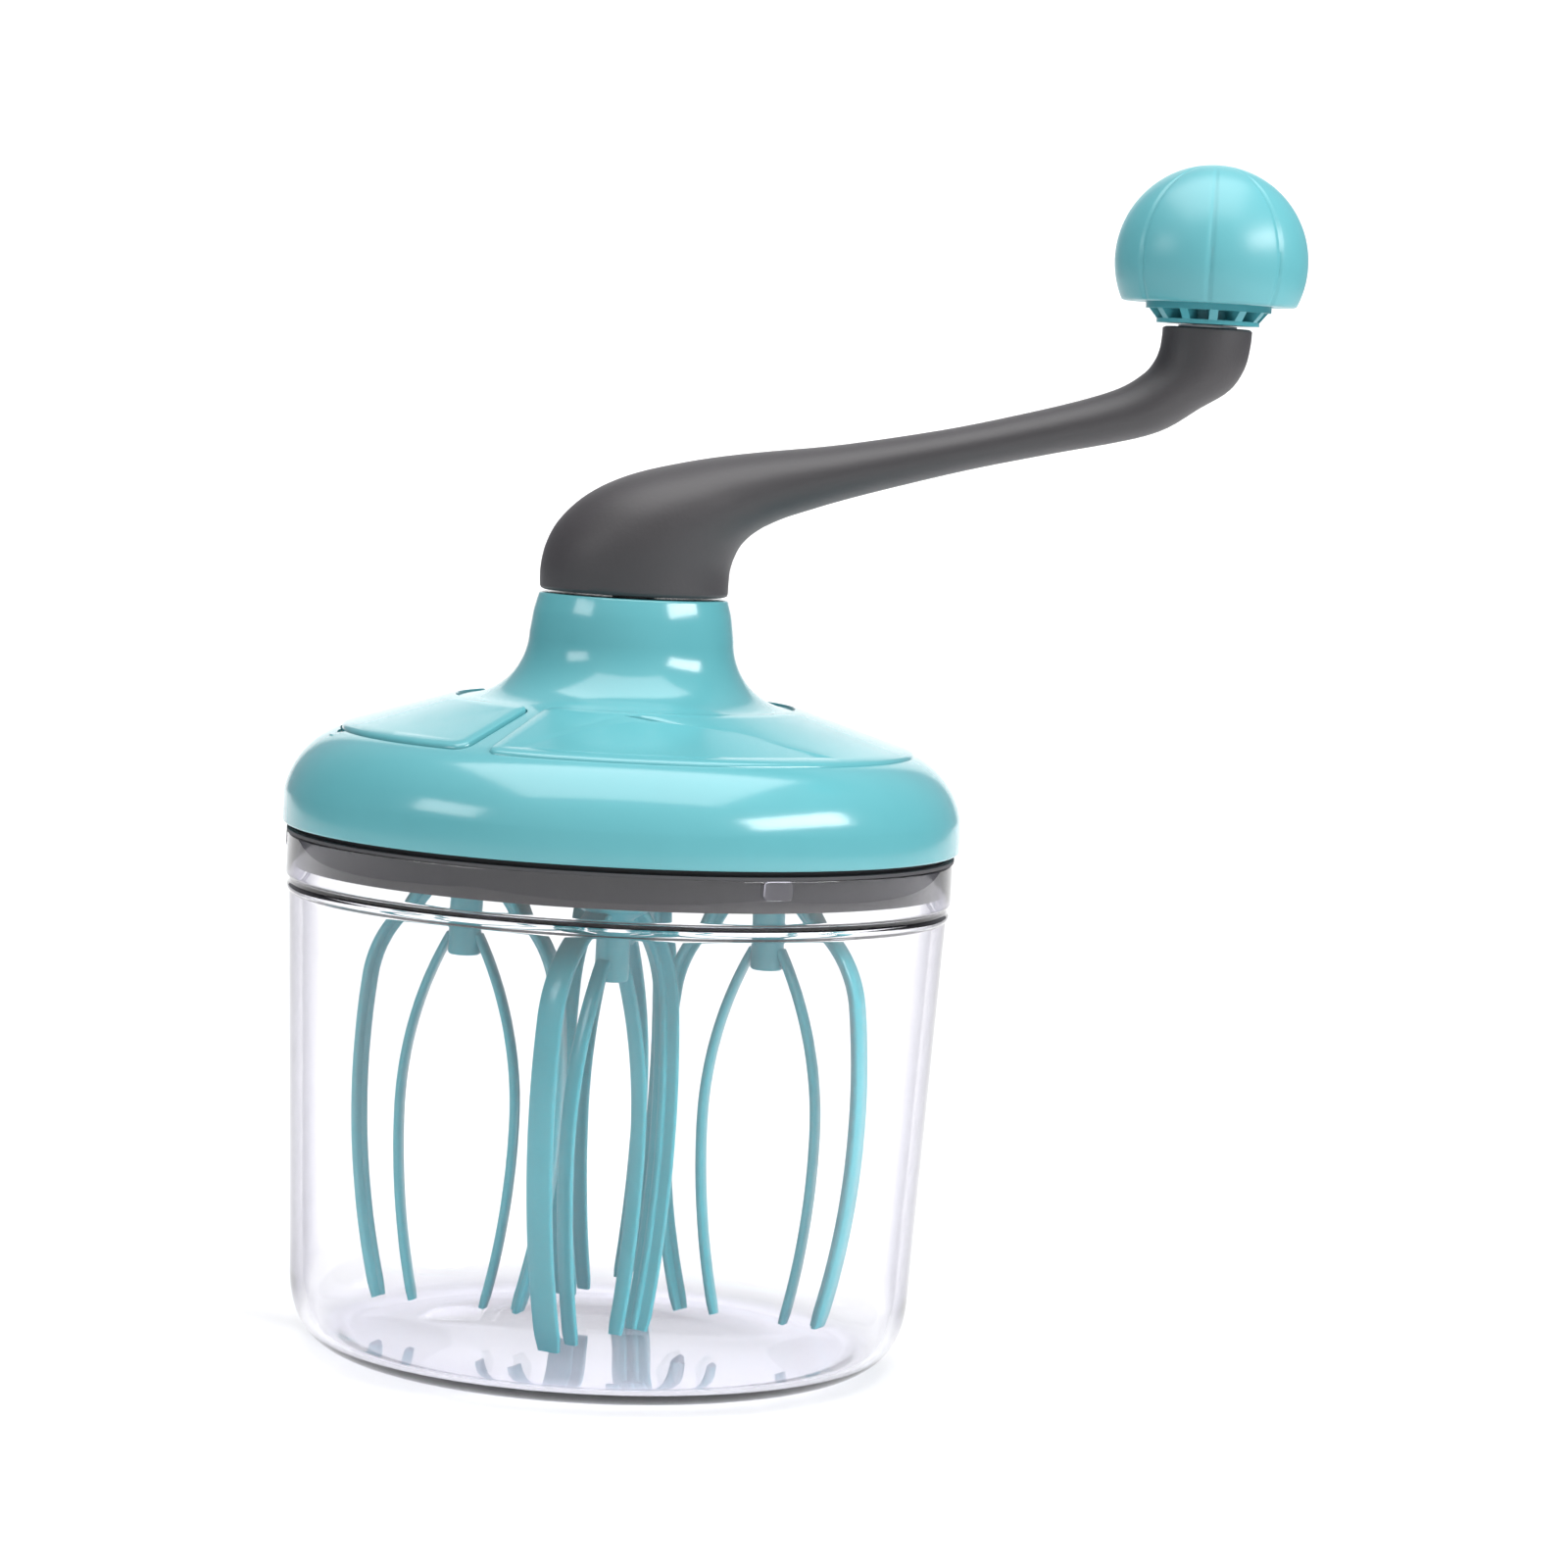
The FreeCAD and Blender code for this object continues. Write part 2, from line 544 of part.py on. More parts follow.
def outer_rows():
    """Middle line of the outer loop: long flat arc, then a round shoulder into the collar."""
    rows = []
    big = value("outer_arc")
    for step in range(7):
        z = value("foot_z") + (value("outer_join") - value("foot_z")) * step / 6.0
        sine = (z - value("outer_mid")) / big
        cosine = math.sqrt(1 - sine ** 2)
        rows.append((value("outer_bulge") - big * (1 - cosine), z, cosine, sine))
    last = rows[-1]
    small = value("outer_shoulder")
    centre = (last[0] - small * last[2], last[1] - small * last[3])
    begin = math.atan2(last[3], last[2])
    for step in range(1, 7):
        at = begin + (math.radians(value("shoulder_end")) - begin) * step / 6.0
        rows.append((centre[0] + small * math.cos(at), centre[1] + small * math.sin(at), math.cos(at), math.sin(at)))
    return rows


def inner_rows():
    """Middle line of the inner loop, rising into the foot of the hub."""
    rows = []
    for step in range(10):
        z = value("foot_z") + (value("inner_top") - value("foot_z")) * step / 9.0
        big = value("inner_arc_low") if z < value("inner_mid") else value("inner_arc_high")
        sine = (z - value("inner_mid")) / big
        cosine = math.sqrt(1 - sine ** 2)
        rows.append((value("inner_bulge") - big * (1 - cosine), z, cosine, sine))
    return rows


def whisk(name, bearing, turned):
    made = body("whisk_" + name)
    hub = sketch(made, "hub", "XZ_Plane")
    outline(hub, [
        ("0", "whisk_hub_low"), ("whisk_hub_r", "whisk_hub_low"), ("whisk_hub_r", "collar_low - collar_cone"),
        ("collar_r", "collar_low"), ("collar_r", "whisk_hub_top - collar_bevel_high"), ("collar_r - collar_bevel_in", "whisk_hub_top"),
        ("spindle_r", "whisk_hub_top"), ("spindle_r", "spindle_low"), ("0", "spindle_low"),
    ])
    turn(made, hub)
    for label, rows, thick, wide in (("outer", outer_rows(), "outer_thick", "outer_wide"),
                                     ("rib", outer_rows(), "rib_thick", "rib_wide"),
                                     ("inner", inner_rows(), "inner_thick", "inner_wide")):
        sk = sketch(made, label, "XZ_Plane")
        inner, outer = whisk_run(value("outer_thick") / 2.0, value(thick), rows)
        for side in (1, -1):
            flip = [[FreeCAD.Vector(side * p.x, p.y, 0) for p in line] for line in (inner, outer)]
            curve_strip(sk, flip[0], flip[1])
        pad(made, sk, wide, both=True)
    place(made, "spindle_ring", bearing, turned)
    return made


def spindle(name, bearing):
    made = ring_body("spindle_" + name, "0", "spindle_r", "spindle_low", "spindle_top")
    place(made, "spindle_ring", bearing)
    clip = ring_body("spindle_clip_" + name, "spindle_r", "spindle_clip_r", "spindle_clip_low",
                     "spindle_clip_low + spindle_clip_thick")
    place(clip, "spindle_ring", bearing)
    return [made, clip]


def arm_ring(letter):
    """Oval section of the arm, drawn as two half curves so that neighbouring sections line up."""
    deep = SIZES["arm_deep_" + letter]
    wide = SIZES["arm_wide_" + letter]
    points = []
    for step in range(2 * RING_HALF + 1):
        at = math.pi * step / RING_HALF
        points.append(FreeCAD.Vector(deep * math.cos(at), wide * math.sin(at), 0))
    up = FreeCAD.Vector(0, 1, 0)
    near = Part.BSplineCurve()
    near.interpolate(points[:RING_HALF + 1], InitialTangent=up, FinalTangent=-up)
    far = Part.BSplineCurve()
    far.interpolate(points[RING_HALF:], InitialTangent=-up, FinalTangent=up)
    ring = doc.addObject("Part::Feature", "arm_ring_" + letter)
    ring.Shape = Part.Wire([near.toShape(), far.toShape()])
    lean = FreeCAD.Rotation(FreeCAD.Vector(0, 1, 0), -SIZES["arm_lean_" + letter])
    ring.Placement = FreeCAD.Placement(FreeCAD.Vector(0, 0, 0), lean)
    ring.setExpression(".Placement.Base.x", "Sizes.arm_x_" + letter)
    ring.setExpression(".Placement.Base.z", "Sizes.arm_z_" + letter)
    return ring


def crank_arm():
    """Bent arm lofted through its stations, with sockets for the shaft and the knob pin."""
    arm = doc.addObject("Part::Loft", "arm_solid")
    arm.Sections = [arm_ring(letter) for letter in STATIONS]
    arm.Solid = True
    arm.Ruled = False
    shaft_hole = cylinder("arm_shaft_hole", "shaft_r", "shaft_top - neck_top + over", "neck_top - over")
    pin_hole = cylinder("arm_pin_hole", "pin_r", "arm_z_r - pin_low + 2.0 * over", "pin_low")
    pin_hole.setExpression(".Placement.Base.x", "Sizes.knob_x")
    doc.recompute()
    return cut("crank_arm", arm, join("arm_holes", [shaft_hole, pin_hole]))


def knob_pin():
    made = body("knob_pin")
    sk = sketch(made, "section", "XZ_Plane")
    outline(sk, [
        ("0", "pin_low"), ("pin_r", "pin_low"), ("pin_r", "arm_z_r"), ("pin_shoulder", "arm_z_r"),
        ("pin_shoulder", "pin_shoulder_z"), ("pin_r", "pin_shoulder_z"), ("pin_r", "pin_top"),
        ("cap_screw_r", "pin_top"), ("cap_screw_r", "pin_top - cap_screw_deep"), ("0", "pin_top - cap_screw_deep"),
    ])
    turn(made, sk)
    made.setExpression(".Placement.Base.x", bound("knob_x"))
    return made


def knob_shell():
    """Hollow ball cut flat below, with a closed rim round the core and a thick crown over it."""
    made = body("knob_shell")
    sk = sketch(made, "section", "XZ_Plane")
    drop = value("knob_z") - value("ball_cut")
    inner = value("ball_r") - value("ball_shell")
    rim = math.sqrt(value("ball_r") ** 2 - drop ** 2)
    inner_rim = math.sqrt(inner ** 2 - (drop - value("ball_shell")) ** 2)
    crown = math.sqrt(inner ** 2 - (value("core_r") + value("core_gap")) ** 2)
    pole = math.sqrt(value("ball_r") ** 2 - (value("ball_top") - value("knob_z")) ** 2)
    outline(sk, [
        ("ring_r + core_gap", "ball_cut"), ("%.5f" % rim, "ball_cut", "ball_r", 1), ("ball_r", "knob_z", "ball_r", 1),
        ("%.5f" % pole, "ball_top"), ("0", "ball_top"), ("0", "core_top + core_rise"),
        ("core_r + core_gap", "core_top + core_rise"), ("core_r + core_gap", "knob_z + %.5f" % crown, "ball_r - ball_shell", -1),
        ("%.5f" % inner_rim, "ball_cut + ball_shell"), ("ring_r + core_gap", "ball_cut + ball_shell"),
    ])
    turn(made, sk)
    groove = sketch(made, "groove", "XZ_Plane")
    outline(groove, [
        ("ring_r + over", "ball_cut - over"), ("ball_r + over", "ball_cut - over"), ("ball_r + over", "groove_top"),
        ("%.5f" % math.sqrt((value("ball_r") - value("groove_deep")) ** 2 - (value("groove_top") - value("knob_z")) ** 2),
         "groove_top", "ball_r - groove_deep", -1),
        ("%.5f" % math.sqrt((value("ball_r") - value("groove_deep")) ** 2 - drop ** 2), "ball_cut"),
        ("ring_r + over", "ball_cut"),
    ])
    cutter = made.newObject("PartDesign::Pocket", "ball_groove")
    cutter.Profile = groove
    cutter.Midplane = True
    cutter.setExpression("Length", bound("groove_wide"))
    doc.recompute()
    pattern(made, cutter, "groove_count")
    made.Placement.Rotation = FreeCAD.Rotation(FreeCAD.Vector(0, 0, 1), value("groove_turn"))
    made.setExpression(".Placement.Base.x", bound("knob_x"))
    return made


def knob_core():
    """Sleeve on the pin with a thin flange, open ribs and a ring that fills the mouth of the ball."""
    made = body("knob_core")
    sk = sketch(made, "section", "XZ_Plane")
    outline(sk, [
        ("pin_r + running", "core_low"), ("flange_r", "core_low"), ("flange_r", "core_low + flange"),
        ("core_r", "core_low + flange"), ("core_r", "skirt_low"), ("ring_r", "skirt_low"),
        ("ring_r", "ball_cut + ring_rise"), ("core_r", "ball_cut + ring_rise"), ("core_r", "core_top + core_rise"),
        ("core_r - core_wall", "core_top + core_rise"), ("core_r - core_wall", "core_top - core_lip"), ("pin_r + running", "core_top - core_lip"),
    ])
    turn(made, sk)
    rib = sketch(made, "rib", "XZ_Plane")
    outline(rib, [
        ("core_r - rib_inset", "core_low + rib_lap"), ("flange_r - rib_back", "core_low + rib_lap"), ("ring_r - rib_back", "skirt_low + rib_lap"),
        ("core_r - rib_inset", "skirt_low + rib_lap"),
    ])
    pattern(made, pad(made, rib, "knob_rib_thick", both=True), "knob_ribs")
    made.setExpression(".Placement.Base.x", bound("knob_x"))
    return made


def knob_fastener():
    washer = ring_body("knob_washer", "cap_screw_r", "washer_r", "pin_top", "pin_top + washer_thick")
    washer.setExpression(".Placement.Base.x", bound("knob_x"))
    screw = body("knob_screw")
    sk = sketch(screw, "section", "XZ_Plane")
    outline(sk, [
        ("0", "pin_top + washer_thick - cap_screw_deep + cap_screw_gap"),
        ("cap_screw_r", "pin_top + washer_thick - cap_screw_deep + cap_screw_gap"),
        ("cap_screw_r", "pin_top + washer_thick"), ("cap_head_r", "pin_top + washer_thick"),
        ("cap_head_r", "pin_top + washer_thick + cap_head_high"), ("0", "pin_top + washer_thick + cap_head_high"),
    ])
    turn(screw, sk)
    screw.setExpression(".Placement.Base.x", bound("knob_x"))
    return [washer, screw]


def build():
    pieces = [cup(), lid_shell(), fill_cover()]
    tray = lid_base()
    lid_base_holes(tray)
    pieces.append(tray)
    pieces.append(ring_body("seal_ring", "seal_in", "seal_out", "seal_low", "seal_high"))
    pieces.append(bearing_plate())
    pieces.append(neck_bush())
    pieces.append(screw_set("plate_screws", "pillar_ring", 45.0,
                            ("pillar_top - plate_screw_deep + screw_end_gap",
                             "plate_thick + plate_screw_deep - screw_end_gap"),
                            ("pillar_top + plate_thick", "head_high")))
    pieces.append(screw_set("lid_screws", "post_ring", value("cover_turn") + 45.0,
                            ("tray_low + head_sink", "lid_screw_deep"),
                            ("tray_low + head_sink - head_high", "head_high")))
    pieces.append(crank_arm())
    pieces.append(ring_body("crank_shaft", "0", "shaft_r", "shaft_low", "shaft_top"))
    pieces.append(drive_drum())
    pieces.append(ring_body("shaft_clip", "shaft_r", "clip_r", "hub_top", "hub_top + clip_thick"))
    pieces.append(knob_pin())
    pieces.append(knob_shell())
    pieces.append(knob_core())
    pieces.extend(knob_fastener())
    for name, (bearing, turned) in WHISKS.items():
        pieces.append(whisk(name, bearing, turned))
        pieces.append(pinion(name, bearing))
        pieces.extend(spindle(name, bearing))
    return pieces


def write(pieces):
    doc.recompute()
    for thing in doc.Objects:
        if "Invalid" in thing.State or "Error" in thing.State:
            raise RuntimeError("feature failed: " + thing.Name)
    os.makedirs("parts", exist_ok=True)
    for piece in pieces:
        shape = piece.Shape
        if shape.isNull() or not shape.isValid():
            raise RuntimeError("bad shape: " + piece.Label)
        shape.exportStep("parts/" + piece.Label + ".step")
        box = shape.BoundBox
        print("%-18s solids %d volume %9.1f  z %.1f to %.1f" % (
            piece.Label, len(shape.Solids), shape.Volume, box.ZMin, box.ZMax))


write(build())
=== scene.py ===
import json
import math

import bmesh
import bpy
from mathutils import Matrix, Vector
from mathutils.geometry import tessellate_polygon


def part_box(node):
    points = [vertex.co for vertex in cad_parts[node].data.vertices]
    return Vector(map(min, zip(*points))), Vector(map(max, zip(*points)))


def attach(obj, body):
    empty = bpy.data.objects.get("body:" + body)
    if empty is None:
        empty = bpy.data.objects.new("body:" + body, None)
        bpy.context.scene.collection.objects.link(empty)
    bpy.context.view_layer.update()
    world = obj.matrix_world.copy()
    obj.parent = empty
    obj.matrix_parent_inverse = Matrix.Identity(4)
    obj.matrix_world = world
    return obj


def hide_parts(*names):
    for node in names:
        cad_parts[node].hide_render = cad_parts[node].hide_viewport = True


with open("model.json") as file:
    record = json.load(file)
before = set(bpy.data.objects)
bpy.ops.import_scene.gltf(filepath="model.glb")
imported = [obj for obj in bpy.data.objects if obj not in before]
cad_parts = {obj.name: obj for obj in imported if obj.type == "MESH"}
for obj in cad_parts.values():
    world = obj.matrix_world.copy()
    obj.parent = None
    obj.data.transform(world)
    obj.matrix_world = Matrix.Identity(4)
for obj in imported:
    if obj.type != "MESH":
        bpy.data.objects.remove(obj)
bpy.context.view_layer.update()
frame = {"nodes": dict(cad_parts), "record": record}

MM = 0.001
nodes = frame["nodes"]


# ---------------------------------------------------------------- materials

def ramp(tree, value, low, high, between=()):
    """Colour running from low to high through the stops between, each (position, red, green, blue)."""
    made = tree.nodes.new("ShaderNodeValToRGB")
    stops = made.color_ramp.elements
    for element, (place, *color) in zip(stops, (low, high)):
        element.position = place
        element.color = (*color, 1.0)
    for place, *color in between:
        stops.new(place).color = (*color, 1.0)
    tree.links.new(value, made.inputs["Fac"])
    return made.outputs["Color"]


def calculate(tree, operation, *values):
    """One Math node fed by numbers or by other nodes' outputs."""
    made = tree.nodes.new("ShaderNodeMath")
    made.operation = operation
    for socket, value in zip(made.inputs, values):
        if isinstance(value, float):
            socket.default_value = value
        else:
            tree.links.new(value, socket)
    return made.outputs["Value"]


def material(name, color, roughness, bump=0.0, bump_size=900.0, coat=0.0, metallic=0.0, mottle=0.0):
    """Principled surface with a fine moulded or machined grain and a slow mottle in its colour."""
    made = bpy.data.materials.new(name)
    made.use_nodes = True
    tree = made.node_tree
    shader = tree.nodes["Principled BSDF"]
    shader.inputs["Base Color"].default_value = (*color, 1.0)
    shader.inputs["Roughness"].default_value = roughness
    shader.inputs["Metallic"].default_value = metallic
    shader.inputs["Coat Weight"].default_value = coat
    shader.inputs["Coat Roughness"].default_value = 0.12
    place = tree.nodes.new("ShaderNodeTexCoord")
    if mottle:
        cloud = tree.nodes.new("ShaderNodeTexNoise")
        cloud.inputs["Scale"].default_value = 38.0
        cloud.inputs["Detail"].default_value = 4.0
        tree.links.new(place.outputs["Object"], cloud.inputs["Vector"])
        darker = [c * (1 - mottle) for c in color]
        lighter = [min(1, c * (1 + mottle)) for c in color]
        clouded = ramp(tree, cloud.outputs["Fac"], (0.3, *darker), (0.7, *lighter))
        tree.links.new(clouded, shader.inputs["Base Color"])
    if bump:
        grain = tree.nodes.new("ShaderNodeTexNoise")
        grain.inputs["Scale"].default_value = bump_size
        grain.inputs["Detail"].default_value = 5.0
        lift = tree.nodes.new("ShaderNodeBump")
        lift.inputs["Strength"].default_value = bump
        lift.inputs["Distance"].default_value = 0.0002
        tree.links.new(place.outputs["Object"], grain.inputs["Vector"])
        tree.links.new(grain.outputs["Fac"], lift.inputs["Height"])
        tree.links.new(lift.outputs["Normal"], shader.inputs["Normal"])
    return made


def brushed(name, color, roughness, stretch):
    """Turned or drawn metal: fine scratches along one direction."""
    made = material(name, color, roughness, metallic=1.0)
    tree = made.node_tree
    shader = tree.nodes["Principled BSDF"]
    place = tree.nodes.new("ShaderNodeTexCoord")
    squeeze = tree.nodes.new("ShaderNodeMapping")
    squeeze.inputs["Scale"].default_value = stretch
    lines = tree.nodes.new("ShaderNodeTexNoise")
    lines.inputs["Scale"].default_value = 400.0
    lines.inputs["Detail"].default_value = 3.0
    lift = tree.nodes.new("ShaderNodeBump")
    lift.inputs["Strength"].default_value = 0.25
    lift.inputs["Distance"].default_value = 0.0001
    tree.links.new(place.outputs["Object"], squeeze.inputs["Vector"])
    tree.links.new(squeeze.outputs["Vector"], lines.inputs["Vector"])
    tree.links.new(lines.outputs["Fac"], lift.inputs["Height"])
    tree.links.new(lift.outputs["Normal"], shader.inputs["Normal"])
    return made


def clear_plastic():
    """Clear moulded plastic, faintly violet, with painted shade: its upright walls darken to violet-grey
    where they are seen edge on.

    Light that has turned round inside the wall many times, and light that casts a shadow, goes straight on.
    """
    made = bpy.data.materials.new("clear_plastic")
    made.use_nodes = True
    tree = made.node_tree
    shader = tree.nodes["Principled BSDF"]
    shader.inputs["Base Color"].default_value = (0.97, 0.97, 0.99, 1.0)
    shader.inputs["Roughness"].default_value = 0.015
    shader.inputs["IOR"].default_value = 1.49
    shader.inputs["Transmission Weight"].default_value = 1.0
    edge = tree.nodes.new("ShaderNodeLayerWeight")
    edge.inputs["Blend"].default_value = 0.32
    normal = tree.nodes.new("ShaderNodeNewGeometry")
    split = tree.nodes.new("ShaderNodeSeparateXYZ")
    level = calculate(tree, "ABSOLUTE", split.outputs["Z"])
    upright = calculate(tree, "SUBTRACT", 1.0, level)
    edge_shade_mask = calculate(tree, "MULTIPLY", edge.outputs["Facing"], upright)
    tree.links.new(normal.outputs["Normal"], split.inputs["Vector"])
    # painted shade: the base colour runs from near white to violet-black as upright walls turn edge on,
    # standing in for the dark rims that light refracted through the wall shows; only the violet hue is the
    # plastic's own
    violet_tint_and_edge_shade = ramp(tree, edge_shade_mask, (0.30, 0.99, 0.99, 0.995), (0.95, 0.05, 0.045, 0.08),
                ((0.46, 0.92, 0.915, 0.945), (0.56, 0.36, 0.35, 0.44), (0.66, 0.09, 0.085, 0.13)))
    tree.links.new(violet_tint_and_edge_shade, shader.inputs["Base Color"])
    depth = tree.nodes.new("ShaderNodeLightPath")
    deep = calculate(tree, "GREATER_THAN", depth.outputs["Ray Depth"], 5.5)
    pass_on = calculate(tree, "MAXIMUM", depth.outputs["Is Shadow Ray"], deep)
    through = tree.nodes.new("ShaderNodeBsdfTransparent")
    fading = ramp(tree, deep, (0.0, 0.985, 0.985, 0.99), (1.0, 0.80, 0.79, 0.86))
    tree.links.new(fading, through.inputs["Color"])
    mix = tree.nodes.new("ShaderNodeMixShader")
    out = tree.nodes["Material Output"]
    tree.links.new(pass_on, mix.inputs["Fac"])
    tree.links.new(shader.outputs["BSDF"], mix.inputs[1])
    tree.links.new(through.outputs["BSDF"], mix.inputs[2])
    tree.links.new(mix.outputs["Shader"], out.inputs["Surface"])
    absorb = tree.nodes.new("ShaderNodeVolumeAbsorption")
    absorb.inputs["Color"].default_value = (0.40, 0.37, 0.62, 1.0)
    absorb.inputs["Density"].default_value = 7.0
    tree.links.new(absorb.outputs["Volume"], out.inputs["Volume"])
    return made


TURQUOISE = (0.112, 0.385, 0.425)
CORE_TURQUOISE = (0.075, 0.34, 0.385)
WHISK_TURQUOISE = (0.045, 0.40, 0.46)
CHARCOAL = (0.045, 0.042, 0.045)
FINE_GRAIN = 1400.0
looks = {
    "clear_plastic": clear_plastic(),
    "turquoise_plastic": material("turquoise_plastic", TURQUOISE, 0.17, bump=0.05, coat=0.2, mottle=0.03),
    "knob_plastic": material("knob_plastic", TURQUOISE, 0.34, bump=0.08, mottle=0.03),
    "turquoise_dark": material("turquoise_core", CORE_TURQUOISE, 0.32, bump=0.10, mottle=0.04),
    "whisk_plastic": material("whisk_plastic", WHISK_TURQUOISE, 0.30, bump=0.12, coat=0.15, mottle=0.05),
    "dark_plastic": material("dark_plastic", CHARCOAL, 0.50, bump=0.18, bump_size=FINE_GRAIN, mottle=0.05),
    "base_plastic": material("base_plastic", (0.014, 0.013, 0.016), 0.45, bump=0.15, bump_size=FINE_GRAIN),
    "gear_plastic": material("gear_plastic", (0.80, 0.80, 0.76), 0.42, bump=0.12, mottle=0.03),
    "steel": brushed("steel", (0.60, 0.60, 0.61), 0.28, (1.0, 1.0, 0.04)),
    "silicone": material("silicone", (0.06, 0.06, 0.065), 0.6, bump=0.2, mottle=0.08),
}


# ---------------------------------------------------------------- mesh helpers

def finish_piece(piece, body, node, slot_name, angle=38.0, look=None):
    """Shade it smooth, give it its look, hang it on its body and hide the CAD node it stands for."""
    mesh = piece.data
    mesh.materials.clear()
    mesh.materials.append(looks[look or slot_name])
    for face in mesh.polygons:
        face.use_smooth = True
    mesh.set_sharp_from_angle(angle=math.radians(angle))
    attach(piece, body)
    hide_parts(node)
    return piece


def mesh_object(name, points, faces):
    mesh = bpy.data.meshes.new(name)
    mesh.from_pydata(points, [], faces)
    mesh.validate()
    mesh.update()
    piece = bpy.data.objects.new(name, mesh)
    bpy.context.scene.collection.objects.link(piece)
    return piece


def rounded(profile, default=0.35, steps=4):
    """Soften each corner of a closed (radius, height) outline; a third number sets its own rounding."""
    out = []
    count = len(profile)
    for i, corner in enumerate(profile):
        here = Vector(corner[:2])
        before = Vector(profile[i - 1][:2])
        after = Vector(profile[(i + 1) % count][:2])
        size = corner[2] if len(corner) > 2 else default
        back = before - here
        ahead = after - here
        reach = min(size, back.length * 0.45, ahead.length * 0.45)
        if reach < 1e-4 or here.x < 1e-6:
            out.append(here)
            continue
        start = here + back.normalized() * reach
        stop = here + ahead.normalized() * reach
        for step in range(steps + 1):
            t = step / steps
            out.append((1 - t) ** 2 * start + 2 * t * (1 - t) * here + t ** 2 * stop)
    return out


def arc(start, stop, radius, side, steps=18):
    """Points on a circle through two (radius, height) points; it bulges right of the way for side +1."""
    a, b = Vector(start), Vector(stop)
    chord = b - a
    lean = math.sqrt(radius ** 2 - chord.length ** 2 / 4)
    normal = Vector((chord.y, -chord.x)).normalized()
    centre = (a + b) / 2 - normal * lean * side
    first = math.atan2(a.y - centre.y, a.x - centre.x)
    sweep = math.atan2(b.y - centre.y, b.x - centre.x) - first
    sweep = (sweep + math.pi) % (2 * math.pi) - math.pi
    angles = [first + sweep * k / steps for k in range(steps + 1)]
    return [(centre.x + radius * math.cos(t), centre.y + radius * math.sin(t), 0.0) for t in angles]


def skin(rings, around):
    """Quads between neighbouring rings of around points each."""
    faces = []
    for row in range(rings - 1):
        low, high = row * around, (row + 1) * around
        for k in range(around):
            n = (k + 1) % around
            faces.append((low + k, low + n, high + n, high + k))
    return faces


def lathe(name, outline, turns=192, at=(0.0, 0.0)):
    """Closed outline (radius, height in mm) turned about a vertical line."""
    count = len(outline)
    points = []
    faces = []
    for turn in range(turns):
        spin = 2 * math.pi * turn / turns
        along_x, along_y = math.cos(spin), math.sin(spin)
        for p in outline:
            points.append(((at[0] + p.x * along_x) * MM, (at[1] + p.x * along_y) * MM, p.y * MM))
    for turn in range(turns):
        nxt = (turn + 1) % turns
        for i in range(count):
            j = (i + 1) % count
            if outline[i].x < 1e-6 and outline[j].x < 1e-6:
                continue
            faces.append((turn * count + i, nxt * count + i, nxt * count + j, turn * count + j))
    piece = mesh_object(name, points, faces)
    tidy_mesh(piece)
    return piece


def tidy_mesh(piece, gap=0.000002):
    """Merge points on the axis and point every face outward."""
    work = bmesh.new()
    work.from_mesh(piece.data)
    bmesh.ops.remove_doubles(work, verts=work.verts, dist=gap)
    bmesh.ops.dissolve_degenerate(work, dist=gap, edges=work.edges)
    bmesh.ops.recalc_face_normals(work, faces=work.faces)
    work.to_mesh(piece.data)
    work.free()
    piece.data.update()


def cut(piece, tool):
    """Take one closed mesh out of another."""
    step = piece.modifiers.new("cut", "BOOLEAN")
    step.operation = "DIFFERENCE"
    step.solver = "EXACT"
    step.object = tool
    bpy.context.view_layer.update()
    done = bpy.data.meshes.new_from_object(piece.evaluated_get(bpy.context.evaluated_depsgraph_get()))
    piece.modifiers.clear()
    piece.data = done
    bpy.data.objects.remove(tool)


# ---------------------------------------------------------------- cup

BASE_FLAT, CORNER_R, CORNER_Z = 46.0, 58.4, 14.0
WALL_TOP_R, WALL_TOP_Z, WALL = 61.7, 86.0, 2.2
BEAD_R, BEAD_LOW, BEAD_TOP = 62.15, 86.5, 87.1
GROOVE_R, GROOVE_Z = 61.8, 87.5
RIM_R, RIM_IN, RIM_TOP, LEDGE = 62.4, 61.5, 96.9, 88.9
FLOOR = 3.2
CATCHES, CATCH_TURN, CATCH_Z, CATCH_HALF_W, CATCH_HALF_H, CATCH_SOFT = 3, -62.0, 95.1, 2.9, 1.75, 0.9


def quarter(x0, z0, x1, z1, bow, steps=10):
    """Curve between two points bowing toward the corner point bow."""
    out = []
    for step in range(steps + 1):
        t = step / steps
        p = (1 - t) ** 2 * Vector((x0, z0)) + 2 * t * (1 - t) * Vector(bow) + t ** 2 * Vector((x1, z1))
        out.append((p.x, p.y, 0.0))
    return out


def cup():
    inner_r = CORNER_R - WALL
    outer = quarter(BASE_FLAT, 0.0, CORNER_R, CORNER_Z, (CORNER_R - 0.55, 0.6), 16)
    inner = quarter(inner_r, CORNER_Z + 1.0, BASE_FLAT + 3.0, FLOOR, (inner_r - 0.6, FLOOR + 0.2), 14)
    outline = [(0.0, 0.0), (30.0, 0.0)] + outer
    outline += [(WALL_TOP_R, WALL_TOP_Z, 0.3), (BEAD_R, BEAD_LOW, 0.3), (BEAD_R, BEAD_TOP, 0.3)]
    outline += [(GROOVE_R, GROOVE_Z, 0.3), (GROOVE_R, LEDGE - 0.4, 0.3), (RIM_R, LEDGE + 0.1, 0.4)]
    outline += [(RIM_R, RIM_TOP, 0.5), (RIM_IN, RIM_TOP, 0.5), (RIM_IN, LEDGE, 0.4)]
    outline += [(WALL_TOP_R - WALL, WALL_TOP_Z + 1.4, 0.6)] + inner + [(0.0, FLOOR)]
    piece = lathe("cup_clear", rounded(outline), 224)
    finish_piece(piece, "cup", "cup", "clear_plastic", 50)
    for number in range(CATCHES):
        lug(number)


